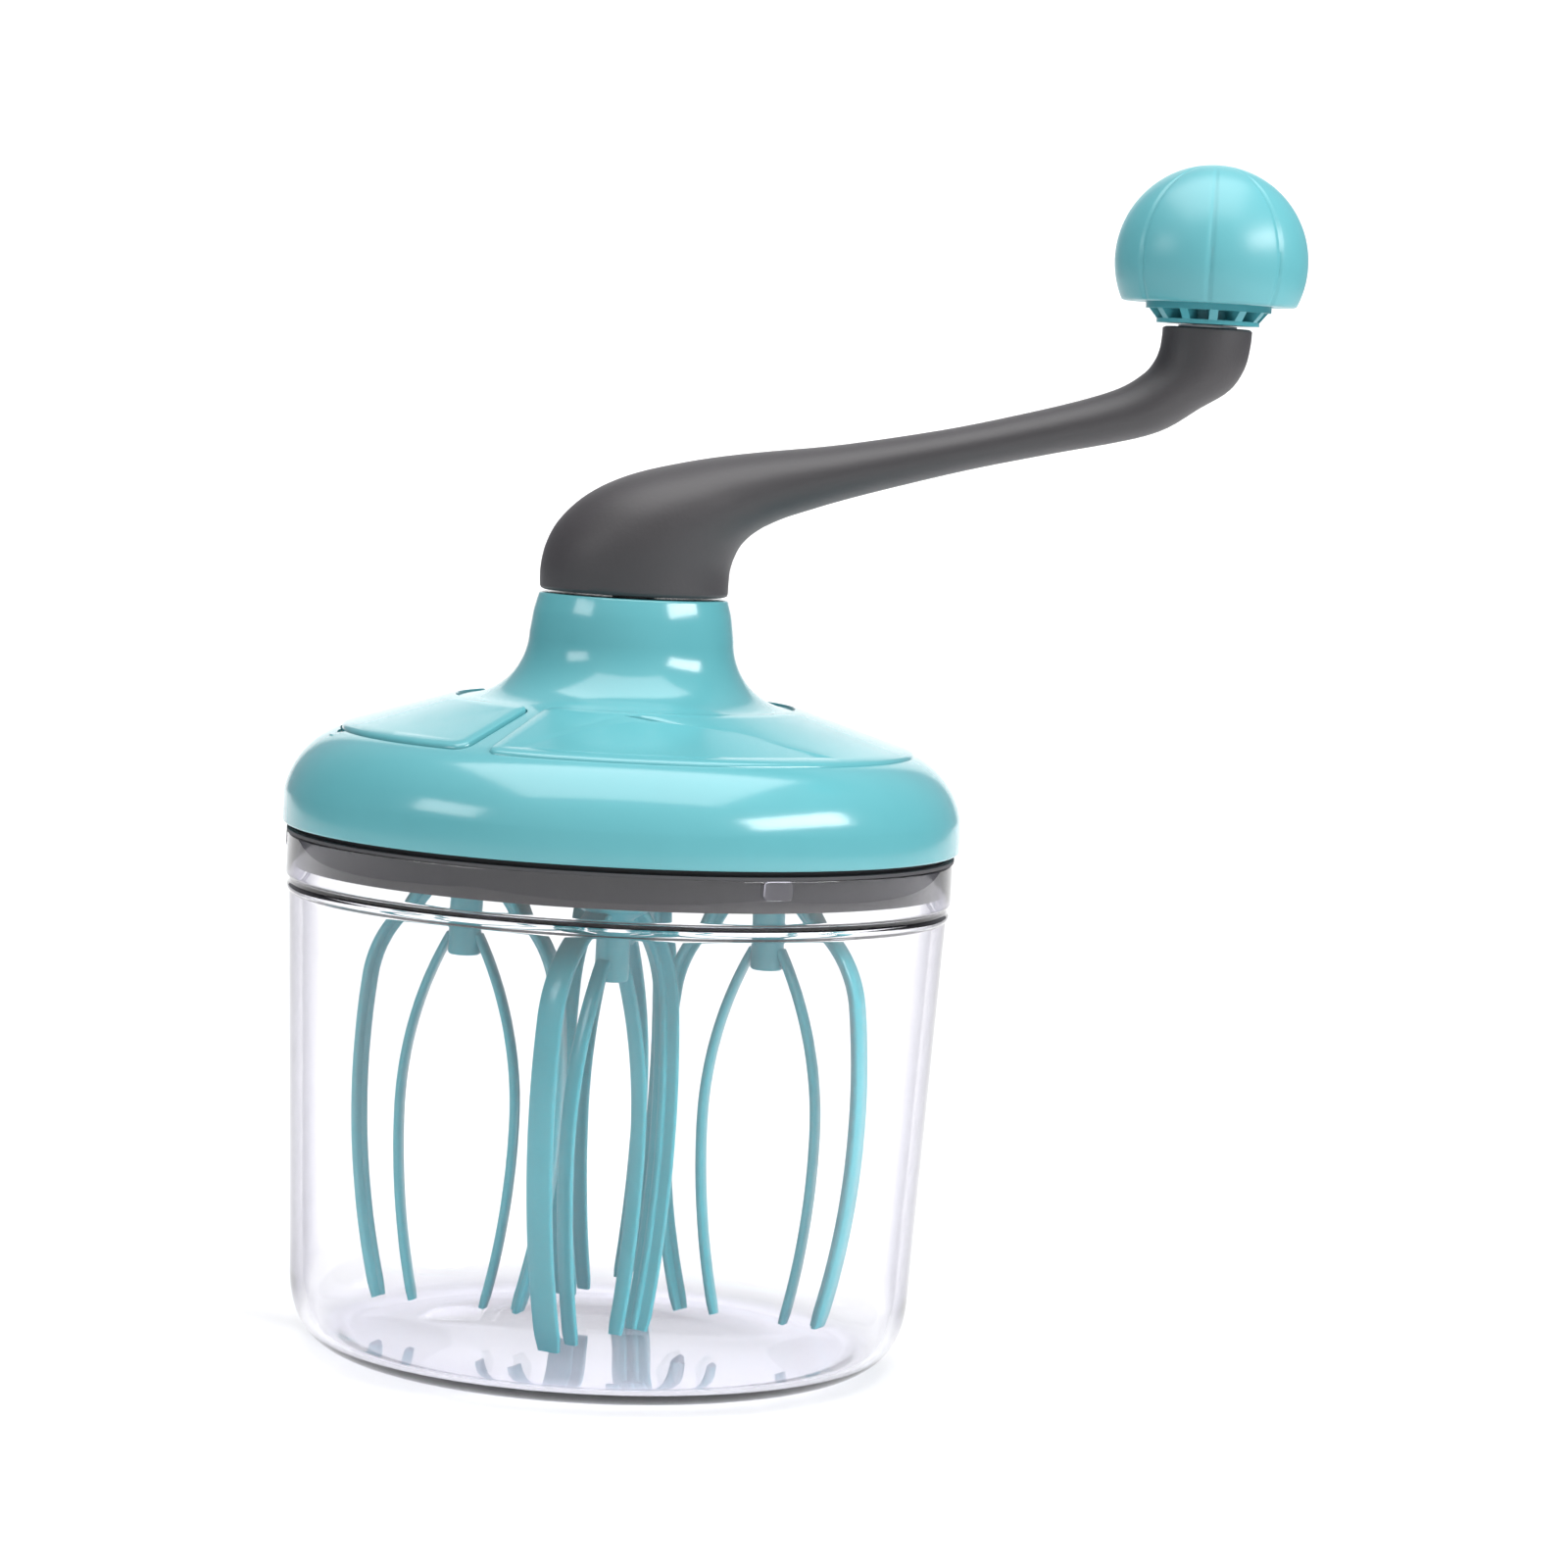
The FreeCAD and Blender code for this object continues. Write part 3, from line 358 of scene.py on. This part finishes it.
def lug(number):
    """Small raised catch on the outside of the rim."""
    turn = math.radians(CATCH_TURN + 360.0 / CATCHES * number)
    outline = []
    for side, rise, start in ((1, 1, 0), (-1, 1, 90), (-1, -1, 180), (1, -1, 270)):
        for step in range(6):
            at = math.radians(start + 90 * step / 5)
            across = side * (CATCH_HALF_W - CATCH_SOFT) + CATCH_SOFT * math.cos(at)
            outline.append((across, rise * (CATCH_HALF_H - CATCH_SOFT) + CATCH_SOFT * math.sin(at)))
    points = []
    layers = [(RIM_R - 0.3, 1.0), (RIM_R + 0.2, 1.0), (RIM_R + 0.4, 0.93)]
    for depth, grow in layers:
        for across, up in outline:
            angle = turn + across * grow / RIM_R
            height = CATCH_Z + up * grow
            points.append((depth * math.cos(angle) * MM, depth * math.sin(angle) * MM, height * MM))
    count = len(outline)
    faces = skin(len(layers), count)
    faces.append(tuple(range(count))[::-1])
    faces.append(tuple(range((len(layers) - 1) * count, len(layers) * count)))
    piece = mesh_object("cup_catch_%d" % number, points, faces)
    tidy_mesh(piece)
    finish_piece(piece, "cup", "cup", "clear_plastic")


# ---------------------------------------------------------------- lid

LID_R, LID_LOW, SIDE_TOP = 63.4, 98.6, 104.5
BAND_IN, BAND_OUT, BAND_IN_Z, BAND_OUT_Z, STEP = 31.2, 54.0, 124.1, 116.8, 0.6
NECK_R, NECK_TOP, NECK_LOW_R, NECK_LOW = 17.7, 143.6, 19.2, 136.0
SHOULDER, FLARE, NEST, NEST_TOP, NECK_HOLE, NECK_ROOF = 15.5, 12.7, 61.3, 102.0, 7.2, 141.6
COVER_FROM, COVER_TO, COVER_IN, COVER_OUT = -214.0, -122.0, 32.2, 53.2
SEAT_GAP, PANEL_GAP, PANEL_SOFT = 0.3, 5.4, 0.6
FEED_RING, FEED_TURN, FEED_BORE, FEED_TUBE, FEED_LOW, FEED_HIGH = 49.5, -168.0, 5.0, 6.4, 90.0, 115.6
FEED_AT = (FEED_RING * math.cos(math.radians(FEED_TURN)), FEED_RING * math.sin(math.radians(FEED_TURN)))
# radius, height and rounding of the lid's inner face, from the neck down to the rim
LID_INSIDE = [
    (15.7, NECK_ROOF, 0.5), (17.2, 136.0, 2.0), (20.5, 126.5, 3.0), (30.6, 121.5, 1.5), (53.5, 114.1, 2.0),
    (58.5, 111.2, 2.5), (61.4, SIDE_TOP, 2.0), (61.4, NEST_TOP, 0.05), (NEST, NEST_TOP, 0.05),
]


def band_height(radius, lift=0.0):
    """Height of the sloping band on the lid, falling straight from its inner to its outer edge."""
    t = (radius - BAND_IN) / (BAND_OUT - BAND_IN)
    return BAND_IN_Z + (BAND_OUT_Z - BAND_IN_Z) * t - STEP + lift


def lid():
    shoulder = arc((LID_R, SIDE_TOP), (BAND_OUT, BAND_OUT_Z - STEP), SHOULDER, 1, 24)
    flare = arc((BAND_IN - STEP, BAND_IN_Z - STEP), (NECK_LOW_R, NECK_LOW), FLARE, -1, 18)
    outline = [(NEST, LID_LOW, 0.2), (LID_R, LID_LOW, 0.5)] + shoulder
    outline += [(r, band_height(r), 0.0) for r in (50.0, 46.0, 42.0, 38.0, 34.5)]
    outline += flare + [(18.6, 140.3, 1.0), (NECK_R, NECK_TOP, 0.45)]
    outline += [(NECK_HOLE, NECK_TOP, 0.3), (NECK_HOLE, NECK_ROOF, 0.2)] + LID_INSIDE
    piece = lathe("lid_dome", rounded(outline), 224)
    seat = sector("seat", COVER_FROM - 2 * SEAT_GAP, COVER_TO + 2 * SEAT_GAP,
                  COVER_IN - SEAT_GAP, COVER_OUT + SEAT_GAP, 2.6,
                  lambda r: band_height(r, -1.15), lambda r: band_height(r, 4.0))
    cut(piece, seat)
    cut(piece, drill("feed", FEED_BORE))
    finish_piece(piece, "lid", "lid_shell", "turquoise_plastic", 32)
    panel = sector("lid_panel", COVER_TO + PANEL_GAP, COVER_FROM + 360.0 - PANEL_GAP, BAND_IN, BAND_OUT, 2.6,
                   lambda r: band_height(r, -0.4), lambda r: band_height(r, STEP), PANEL_SOFT)
    finish_piece(panel, "lid", "lid_shell", "turquoise_plastic", 40)
    section = [(FEED_BORE, FEED_LOW), (FEED_TUBE, FEED_LOW), (FEED_TUBE, FEED_HIGH), (FEED_BORE, FEED_HIGH)]
    tube = lathe("feed_tube", rounded(section), 48, FEED_AT)
    finish_piece(tube, "lid", "lid_shell", "turquoise_plastic")


def drill(name, radius):
    """Upright rod through the lid at the feed hole, to cut it with."""
    low, high = 80, 135
    return lathe(name, [Vector(p) for p in ((0, low), (radius, low), (radius, high), (0, high))], 48, FEED_AT)


def sector(name, angle_from, angle_to, r_in, r_out, corner, low, high, soft=0.0):
    """Plate over a sector of the sloping band, with round corners; soft rounds its upper edge."""
    middle = math.radians((angle_from + angle_to) / 2)
    half = math.radians(angle_to - angle_from) / 2
    r_mid = (r_in + r_out) / 2
    half_r = (r_out - r_in) / 2

    def edge(inset):
        out = []
        keep = max(0.1, corner - inset)
        for side, rise, start in ((1, 1, 0), (-1, 1, 90), (-1, -1, 180), (1, -1, 270)):
            for step in range(7):
                at = math.radians(start + 15 * step)
                radius = r_mid + rise * (half_r - inset - keep) + keep * math.sin(at)
                angle = middle + side * (half - (inset + keep) / radius) + keep * math.cos(at) / radius
                out.append((angle, radius))
        full = []
        for i, (a, r) in enumerate(out):
            full.append((a, r))
            b, q = out[(i + 1) % len(out)]
            runs = int(abs(b - a) / math.radians(2.0))
            for step in range(1, runs):
                full.append((a + (b - a) * step / runs, r + (q - r) * step / runs))
        return full

    levels = [(edge(0.0), low, 0.0), (edge(0.0), high, -soft)]
    if soft:
        levels += [(edge(soft * 0.3), high, -soft * 0.3), (edge(soft), high, 0.0)]
    levels += [(edge(soft + 2.0), high, 0.0)]
    count = min(len(level[0]) for level in levels)
    points = []
    for ring, height, drop in levels:
        picks = [ring[int(k * len(ring) / count)] for k in range(count)]
        for angle, radius in picks:
            up = height(radius) + drop
            points.append((radius * math.cos(angle) * MM, radius * math.sin(angle) * MM, up * MM))
    faces = skin(len(levels), count)
    faces += strip_cap(points, (len(levels) - 1) * count, count)
    faces += [tuple(reversed(f)) for f in strip_cap(points, 0, count)]
    piece = mesh_object(name, points, faces)
    tidy_mesh(piece)
    return piece


def strip_cap(points, first, count):
    """Fill a flat-seen ring of points with triangles."""
    flat = [Vector((points[first + k][0], points[first + k][1], 0.0)) for k in range(count)]
    return [tuple(first + k for k in tri) for tri in tessellate_polygon([flat])]


def fill_cover():
    piece = sector("feed_cover", COVER_FROM, COVER_TO, COVER_IN, COVER_OUT, 2.3,
                   lambda r: band_height(r, -0.8), lambda r: band_height(r, STEP + 0.1), PANEL_SOFT)
    finish_piece(piece, "cover", "fill_cover", "turquoise_plastic", 40)


# ---------------------------------------------------------------- crank arm and knob

# x, z of the middle, lean in degrees, half depth, half width
ARM = [
    (0.00, 144.10, 0.0, 17.60, 17.61),
    (0.03, 148.70, 1.0, 17.73, 17.75),
    (1.00, 152.65, -0.8, 17.75, 17.80),
    (2.80, 155.93, -4.7, 17.26, 17.40),
    (6.15, 159.20, -10.5, 15.92, 16.50),
    (11.05, 161.95, -16.5, 13.92, 15.00),
    (18.35, 164.40, -25.0, 10.87, 12.80),
    (28.25, 166.80, -36.9, 7.82, 10.60),
    (41.40, 169.68, -46.3, 5.64, 8.80),
    (57.85, 173.65, -60.2, 4.32, 7.80),
    (74.00, 177.75, -69.2, 4.23, 7.60),
    (86.55, 181.10, -65.6, 4.72, 7.70),
    (93.35, 183.60, -53.8, 5.33, 7.90),
    (98.30, 186.95, -31.2, 6.08, 8.10),
    (101.90, 189.95, -19.0, 7.51, 8.25),
    (103.62, 193.20, -11.3, 8.13, 8.33),
    (104.20, 196.45, -3.8, 8.32, 8.36),
    (104.30, 199.00, 0.0, 8.35, 8.36),
]
KNOB_X, KNOB_Z, BALL_R, BALL_CUT = 104.3, 211.2, 18.0, 203.4
GROOVES, GROOVE_TURN, GROOVE_DEEP, GROOVE_HALF = 8, 39.0, 0.38, 0.36


def between(rows, at):
    """Smooth in-between of the arm's stations (Catmull-Rom)."""
    i = min(int(at), len(rows) - 2)
    t = at - i
    a, b, c, d = (rows[max(0, min(len(rows) - 1, k))] for k in (i - 1, i, i + 1, i + 2))
    out = []
    for p, q, r, s in zip(a, b, c, d):
        square = 2 * p - 5 * q + 4 * r - s
        cube = 3 * q - p - 3 * r + s
        out.append(0.5 * (2 * q + (r - p) * t + square * t * t + cube * t ** 3))
    return out


def crank_arm():
    around, fine = 72, 5
    rings = [between(ARM, k / fine) for k in range((len(ARM) - 1) * fine + 1)]
    first, last = list(rings[0]), list(rings[-1])
    ends = []
    for ring, sign in ((first, 1), (last, -1)):
        soft = []
        for inset, rise in ((0.6, 0.0), (0.18, 0.18), (0.0, 0.6)):
            row = list(ring)
            row[1] += sign * rise
            row[3] -= inset
            row[4] -= inset
            soft.append(row)
        ends.append(soft)
    rings = ends[0] + rings[1:-1] + ends[1][::-1]
    points = []
    for x, z, lean, deep, wide in rings:
        tilt = math.radians(lean)
        for k in range(around):
            at = 2 * math.pi * k / around
            u, v = deep * math.cos(at), wide * math.sin(at)
            points.append(((x + u * math.cos(tilt)) * MM, v * MM, (z + u * math.sin(tilt)) * MM))
    faces = skin(len(rings), around)
    faces.append(tuple(range(around)))
    faces.append(tuple(range((len(rings) - 1) * around, len(rings) * around)))
    piece = mesh_object("crank_handle", points, faces)
    tidy_mesh(piece)
    finish_piece(piece, "crank", "crank_arm", "dark_plastic", 60)


def knob():
    """Ball with shallow meridian grooves, cut flat below."""
    rows, around = 64, 256
    low = -math.asin((KNOB_Z - BALL_CUT) / BALL_R)
    pitch = 360.0 / GROOVES
    points = []

    def ring(radius, height, grooved):
        for k in range(around):
            at = 2 * math.pi * k / around
            r = radius
            if grooved:
                near = (math.degrees(at) - GROOVE_TURN + pitch / 2) % pitch - pitch / 2
                width = abs(math.radians(near)) * radius
                r -= grooved * math.exp(-(width / GROOVE_HALF) ** 2)
            points.append(((KNOB_X + r * math.cos(at)) * MM, r * math.sin(at) * MM, height * MM))

    ring(11.9, BALL_CUT + 2.0, 0.0)
    ring(11.9, BALL_CUT + 0.3, 0.0)
    ring(12.2, BALL_CUT, 0.0)
    ring(BALL_R * math.cos(low) - 0.5, BALL_CUT, 0.0)
    for row in range(rows):
        up = low + 0.012 + (math.pi / 2 - 0.03 - low) * row / (rows - 1)
        fade = min(1.0, max(0.0, (math.pi / 2 - up) / 0.35 - 0.25))
        ring(BALL_R * math.cos(up), KNOB_Z + BALL_R * math.sin(up), GROOVE_DEEP * fade)
    total = rows + 4
    faces = skin(total, around)
    faces.append(tuple(range((total - 1) * around, total * around)))
    faces.append(tuple(range(around)))
    piece = mesh_object("knob_ball", points, faces)
    tidy_mesh(piece)
    finish_piece(piece, "knob", "knob_shell", "turquoise_plastic", 55, "knob_plastic")


# ---------------------------------------------------------------- whisks

FOOT, STRAP_THICK, STRAP_SOFT = 8.0, 1.2, 0.28
OUTER_BULGE, OUTER_MID, OUTER_ARC, OUTER_JOIN = 20.3, 50.0, 150.0, 69.0
OUTER_SHOULDER, SHOULDER_END = 22.0, 77.0
OUTER_WIDE, RIB_WIDE, RIB_THICK = 5.2, 1.3, 2.3
INNER_BULGE, INNER_MID, INNER_TOP, INNER_WIDE = 11.7, 44.0, 78.3, 3.0
INNER_ARC_LOW, INNER_ARC_HIGH = 145.0, 70.0
SPINDLE_R = 1.75
# radius, height and rounding of a whisk's hub and collar
HUB = [
    (0.0, 74.4), (3.1, 74.4, 0.7), (3.1, 85.6, 1.0), (7.0, 87.3, 0.7), (7.0, 90.3, 0.6),
    (SPINDLE_R, 90.3, 0.1), (SPINDLE_R, 77.5, 0.1), (0.0, 77.5),
]
# turn of each whisk's loops, in degrees
WHISKS = {"right": -25.0, "back": 62.0, "left": -18.0, "front": 58.0}


def on_bow(z, middle, radius, bulge):
    """Row of a loop's side: radius out, height, and the unit normal's parts out and up."""
    s = (z - middle) / radius
    c = math.sqrt(1 - s * s)
    return (bulge - radius * (1 - c), z, c, s)


def outer_line():
    """Middle line of the outer loop, foot to shoulder."""
    rows = []
    for step in range(25):
        z = FOOT + (OUTER_JOIN - FOOT) * step / 24
        rows.append(on_bow(z, OUTER_MID, OUTER_ARC, OUTER_BULGE))
    r, z, c, s = rows[-1]
    centre = (r - OUTER_SHOULDER * c, z - OUTER_SHOULDER * s)
    begin = math.atan2(s, c)
    for step in range(1, 19):
        at = begin + (math.radians(SHOULDER_END) - begin) * step / 18
        out, up = math.cos(at), math.sin(at)
        rows.append((centre[0] + OUTER_SHOULDER * out, centre[1] + OUTER_SHOULDER * up, out, up))
    return rows


def inner_line():
    """Middle line of the inner loop, foot to hub."""
    rows = []
    for step in range(37):
        z = FOOT + (INNER_TOP - FOOT) * step / 36
        bow = INNER_ARC_LOW if z < INNER_MID else INNER_ARC_HIGH
        rows.append(on_bow(z, INNER_MID, bow, INNER_BULGE))
    return rows


def strap(line, wide, side, ribbed):
    """Moulded strap with soft edges, and where it is ribbed, a rib down its inner face."""
    h, w, soft = STRAP_THICK / 2, wide / 2, STRAP_SOFT
    rib = RIB_WIDE / 2
    deep = RIB_THICK - STRAP_THICK
    section = [(h, -w + soft), (h, w - soft), (h - soft, w), (-h + soft, w), (-h, w - soft)]
    if ribbed:
        half = [(-h, rib + 0.35), (-h - 0.25, rib), (-h - deep + 0.2, rib - 0.05), (-h - deep, rib - 0.3)]
        section += half + [(out, -across) for out, across in reversed(half)]
    section += [(-h, -w + soft), (-h + soft, -w), (h - soft, -w)]
    points = []
    for index, (r, z, c, s) in enumerate(line):
        shrink = 0.86 if index == 0 else 1.0
        for out, across in section:
            points.append((side * (r + out * shrink * c), across * shrink, z + out * shrink * s))
    count = len(section)
    faces = skin(len(line), count)
    faces.append(tuple(range(count)))
    faces.append(tuple(range((len(line) - 1) * count, len(line) * count)))
    return points, faces


def whisk(name):
    low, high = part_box("spindle_" + name)
    cx = (low.x + high.x) / 2
    cy = (low.y + high.y) / 2
    spin = math.radians(WHISKS[name])
    points = []
    faces = []
    for side in (1, -1):
        outer = strap(outer_line(), OUTER_WIDE, side, True)
        inner = strap(inner_line(), INNER_WIDE, side, False)
        for part_points, part_faces in (outer, inner):
            shift = len(points)
            for x, y, z in part_points:
                points.append((cx + (x * math.cos(spin) - y * math.sin(spin)) * MM,
                               cy + (x * math.sin(spin) + y * math.cos(spin)) * MM, z * MM))
            faces += [tuple(k + shift for k in face) for face in part_faces]
    piece = mesh_object("whisk_%s_straps" % name, points, faces)
    tidy_mesh(piece)
    finish_piece(piece, "beater_" + name, "whisk_" + name, "whisk_plastic", 50)
    piece = lathe("whisk_%s_hub" % name, rounded(HUB), 64, (cx / MM, cy / MM))
    finish_piece(piece, "beater_" + name, "whisk_" + name, "whisk_plastic", 50)


# ---------------------------------------------------------------- CAD nodes shown as they are

def dress_nodes():
    """The remaining pieces keep their CAD meshes and take the look of their slot, all but the lid's base,
    which takes the base plastic.
    """
    slots = {row["node"]: row["material_slot"] for row in frame["record"]["subparts"]}
    for name, node in nodes.items():
        node.data.materials.clear()
        node.data.materials.append(looks["base_plastic" if name == "lid_base" else slots[name]])
        for face in node.data.polygons:
            face.use_smooth = True
        node.data.set_sharp_from_angle(angle=math.radians(35))


# ---------------------------------------------------------------- studio

def area_light(name, place, aim, size, power):
    data = bpy.data.lights.new(name, "AREA")
    data.shape = "RECTANGLE"
    data.size, data.size_y = size
    data.energy = power
    lamp = bpy.data.objects.new(name, data)
    bpy.context.scene.collection.objects.link(lamp)
    lamp.location = Vector(place)
    lamp.rotation_euler = (Vector(aim) - Vector(place)).to_track_quat("-Z", "Y").to_euler()


def studio():
    """Soft world light, dimmer to the sides and behind, and four area lights."""
    world = bpy.data.worlds.new("studio")
    bpy.context.scene.world = world
    world.use_nodes = True
    tree = world.node_tree
    shade = tree.nodes["Background"]
    shade.inputs["Strength"].default_value = 0.72
    where = tree.nodes.new("ShaderNodeTexCoord")
    split = tree.nodes.new("ShaderNodeSeparateXYZ")
    tree.links.new(where.outputs["Generated"], split.inputs["Vector"])
    sideways = calculate(tree, "ABSOLUTE", split.outputs["X"])
    across = ramp(tree, sideways, (0.40, 1.0, 1.0, 1.0), (0.85, 0.26, 0.26, 0.30))
    depth = calculate(tree, "MULTIPLY_ADD", split.outputs["Y"], 0.5, 0.5)
    along = ramp(tree, depth, (0.05, 0.55, 0.55, 0.56), (0.75, 0.45, 0.45, 0.49),
                 ((0.20, 1.0, 1.0, 1.0), (0.50, 1.0, 1.0, 1.0)))
    both = tree.nodes.new("ShaderNodeMix")
    both.data_type = "RGBA"
    both.blend_type = "MULTIPLY"
    both.inputs[0].default_value = 1.0
    tree.links.new(across, both.inputs[6])
    tree.links.new(along, both.inputs[7])
    tree.links.new(both.outputs[2], shade.inputs["Color"])
    middle = (0.0, 0.0, 0.12)
    area_light("softbox_right", (0.68, -0.30, 0.52), middle, (0.56, 0.20), 4.6)
    area_light("softbox_left", (-0.66, -0.36, 0.46), middle, (0.34, 0.18), 1.0)
    area_light("top", (0.0, -0.05, 0.95), middle, (0.9, 0.9), 8.4)
    area_light("backdrop_wash", (0.0, 1.3, 1.5), (0.0, 2.8, 0.3), (1.4, 0.5), 40.0)


def backdrop():
    """Pale paper that runs flat under the part and bends up behind it."""
    front, bend, radius, top, half_wide, below = -0.9, 2.4, 0.8, 2.4, 1.0, 0.0004
    steps = 24
    profile = [(front, 0.0), (bend, 0.0)]
    for step in range(1, steps + 1):
        at = math.pi / 2 * step / steps
        profile.append((bend + radius * math.sin(at), radius - radius * math.cos(at)))
    profile += [(bend + radius, top)]
    points = [(x, y, z - below) for y, z in profile for x in (-half_wide, half_wide)]
    faces = [(2 * k, 2 * k + 1, 2 * k + 3, 2 * k + 2) for k in range(len(profile) - 1)]
    sweep = mesh_object("backdrop", points, faces)
    for face in sweep.data.polygons:
        face.use_smooth = True
    sweep.data.materials.append(material("pale_paper", (0.93, 0.93, 0.93), 0.7))


def camera():
    """Camera at the photograph's angle: a little above the lid, leaning so that the top tips right."""
    pitch, yaw, roll = (math.radians(v) for v in (4.66, -0.76, 3.04))
    distance, aim_x, aim_z = 0.90411, 0.02995, 0.10972
    back = Vector((math.sin(yaw) * math.cos(pitch), -math.cos(yaw) * math.cos(pitch), math.sin(pitch)))
    right = (-back).cross(Vector((0, 0, 1))).normalized()
    up = right.cross(-back)
    place = Vector((0, 0, aim_z)) + right * aim_x + back * distance
    leaned_right = right * math.cos(roll) + up * math.sin(roll)
    leaned_up = up * math.cos(roll) - right * math.sin(roll)
    data = bpy.data.cameras.new("camera")
    data.sensor_width = 36.0
    data.lens = 110.6
    data.clip_start = 0.01
    view = bpy.data.objects.new("camera", data)
    bpy.context.scene.collection.objects.link(view)
    turn = Matrix((leaned_right, leaned_up, back)).transposed()
    view.matrix_world = Matrix.Translation(place) @ turn.to_4x4()
    bpy.context.scene.camera = view


camera()
dress_nodes()
cup()
lid()
fill_cover()
crank_arm()
knob()
for name in WHISKS:
    whisk(name)
studio()
backdrop()
bpy.context.scene.view_settings.view_transform = "Standard"
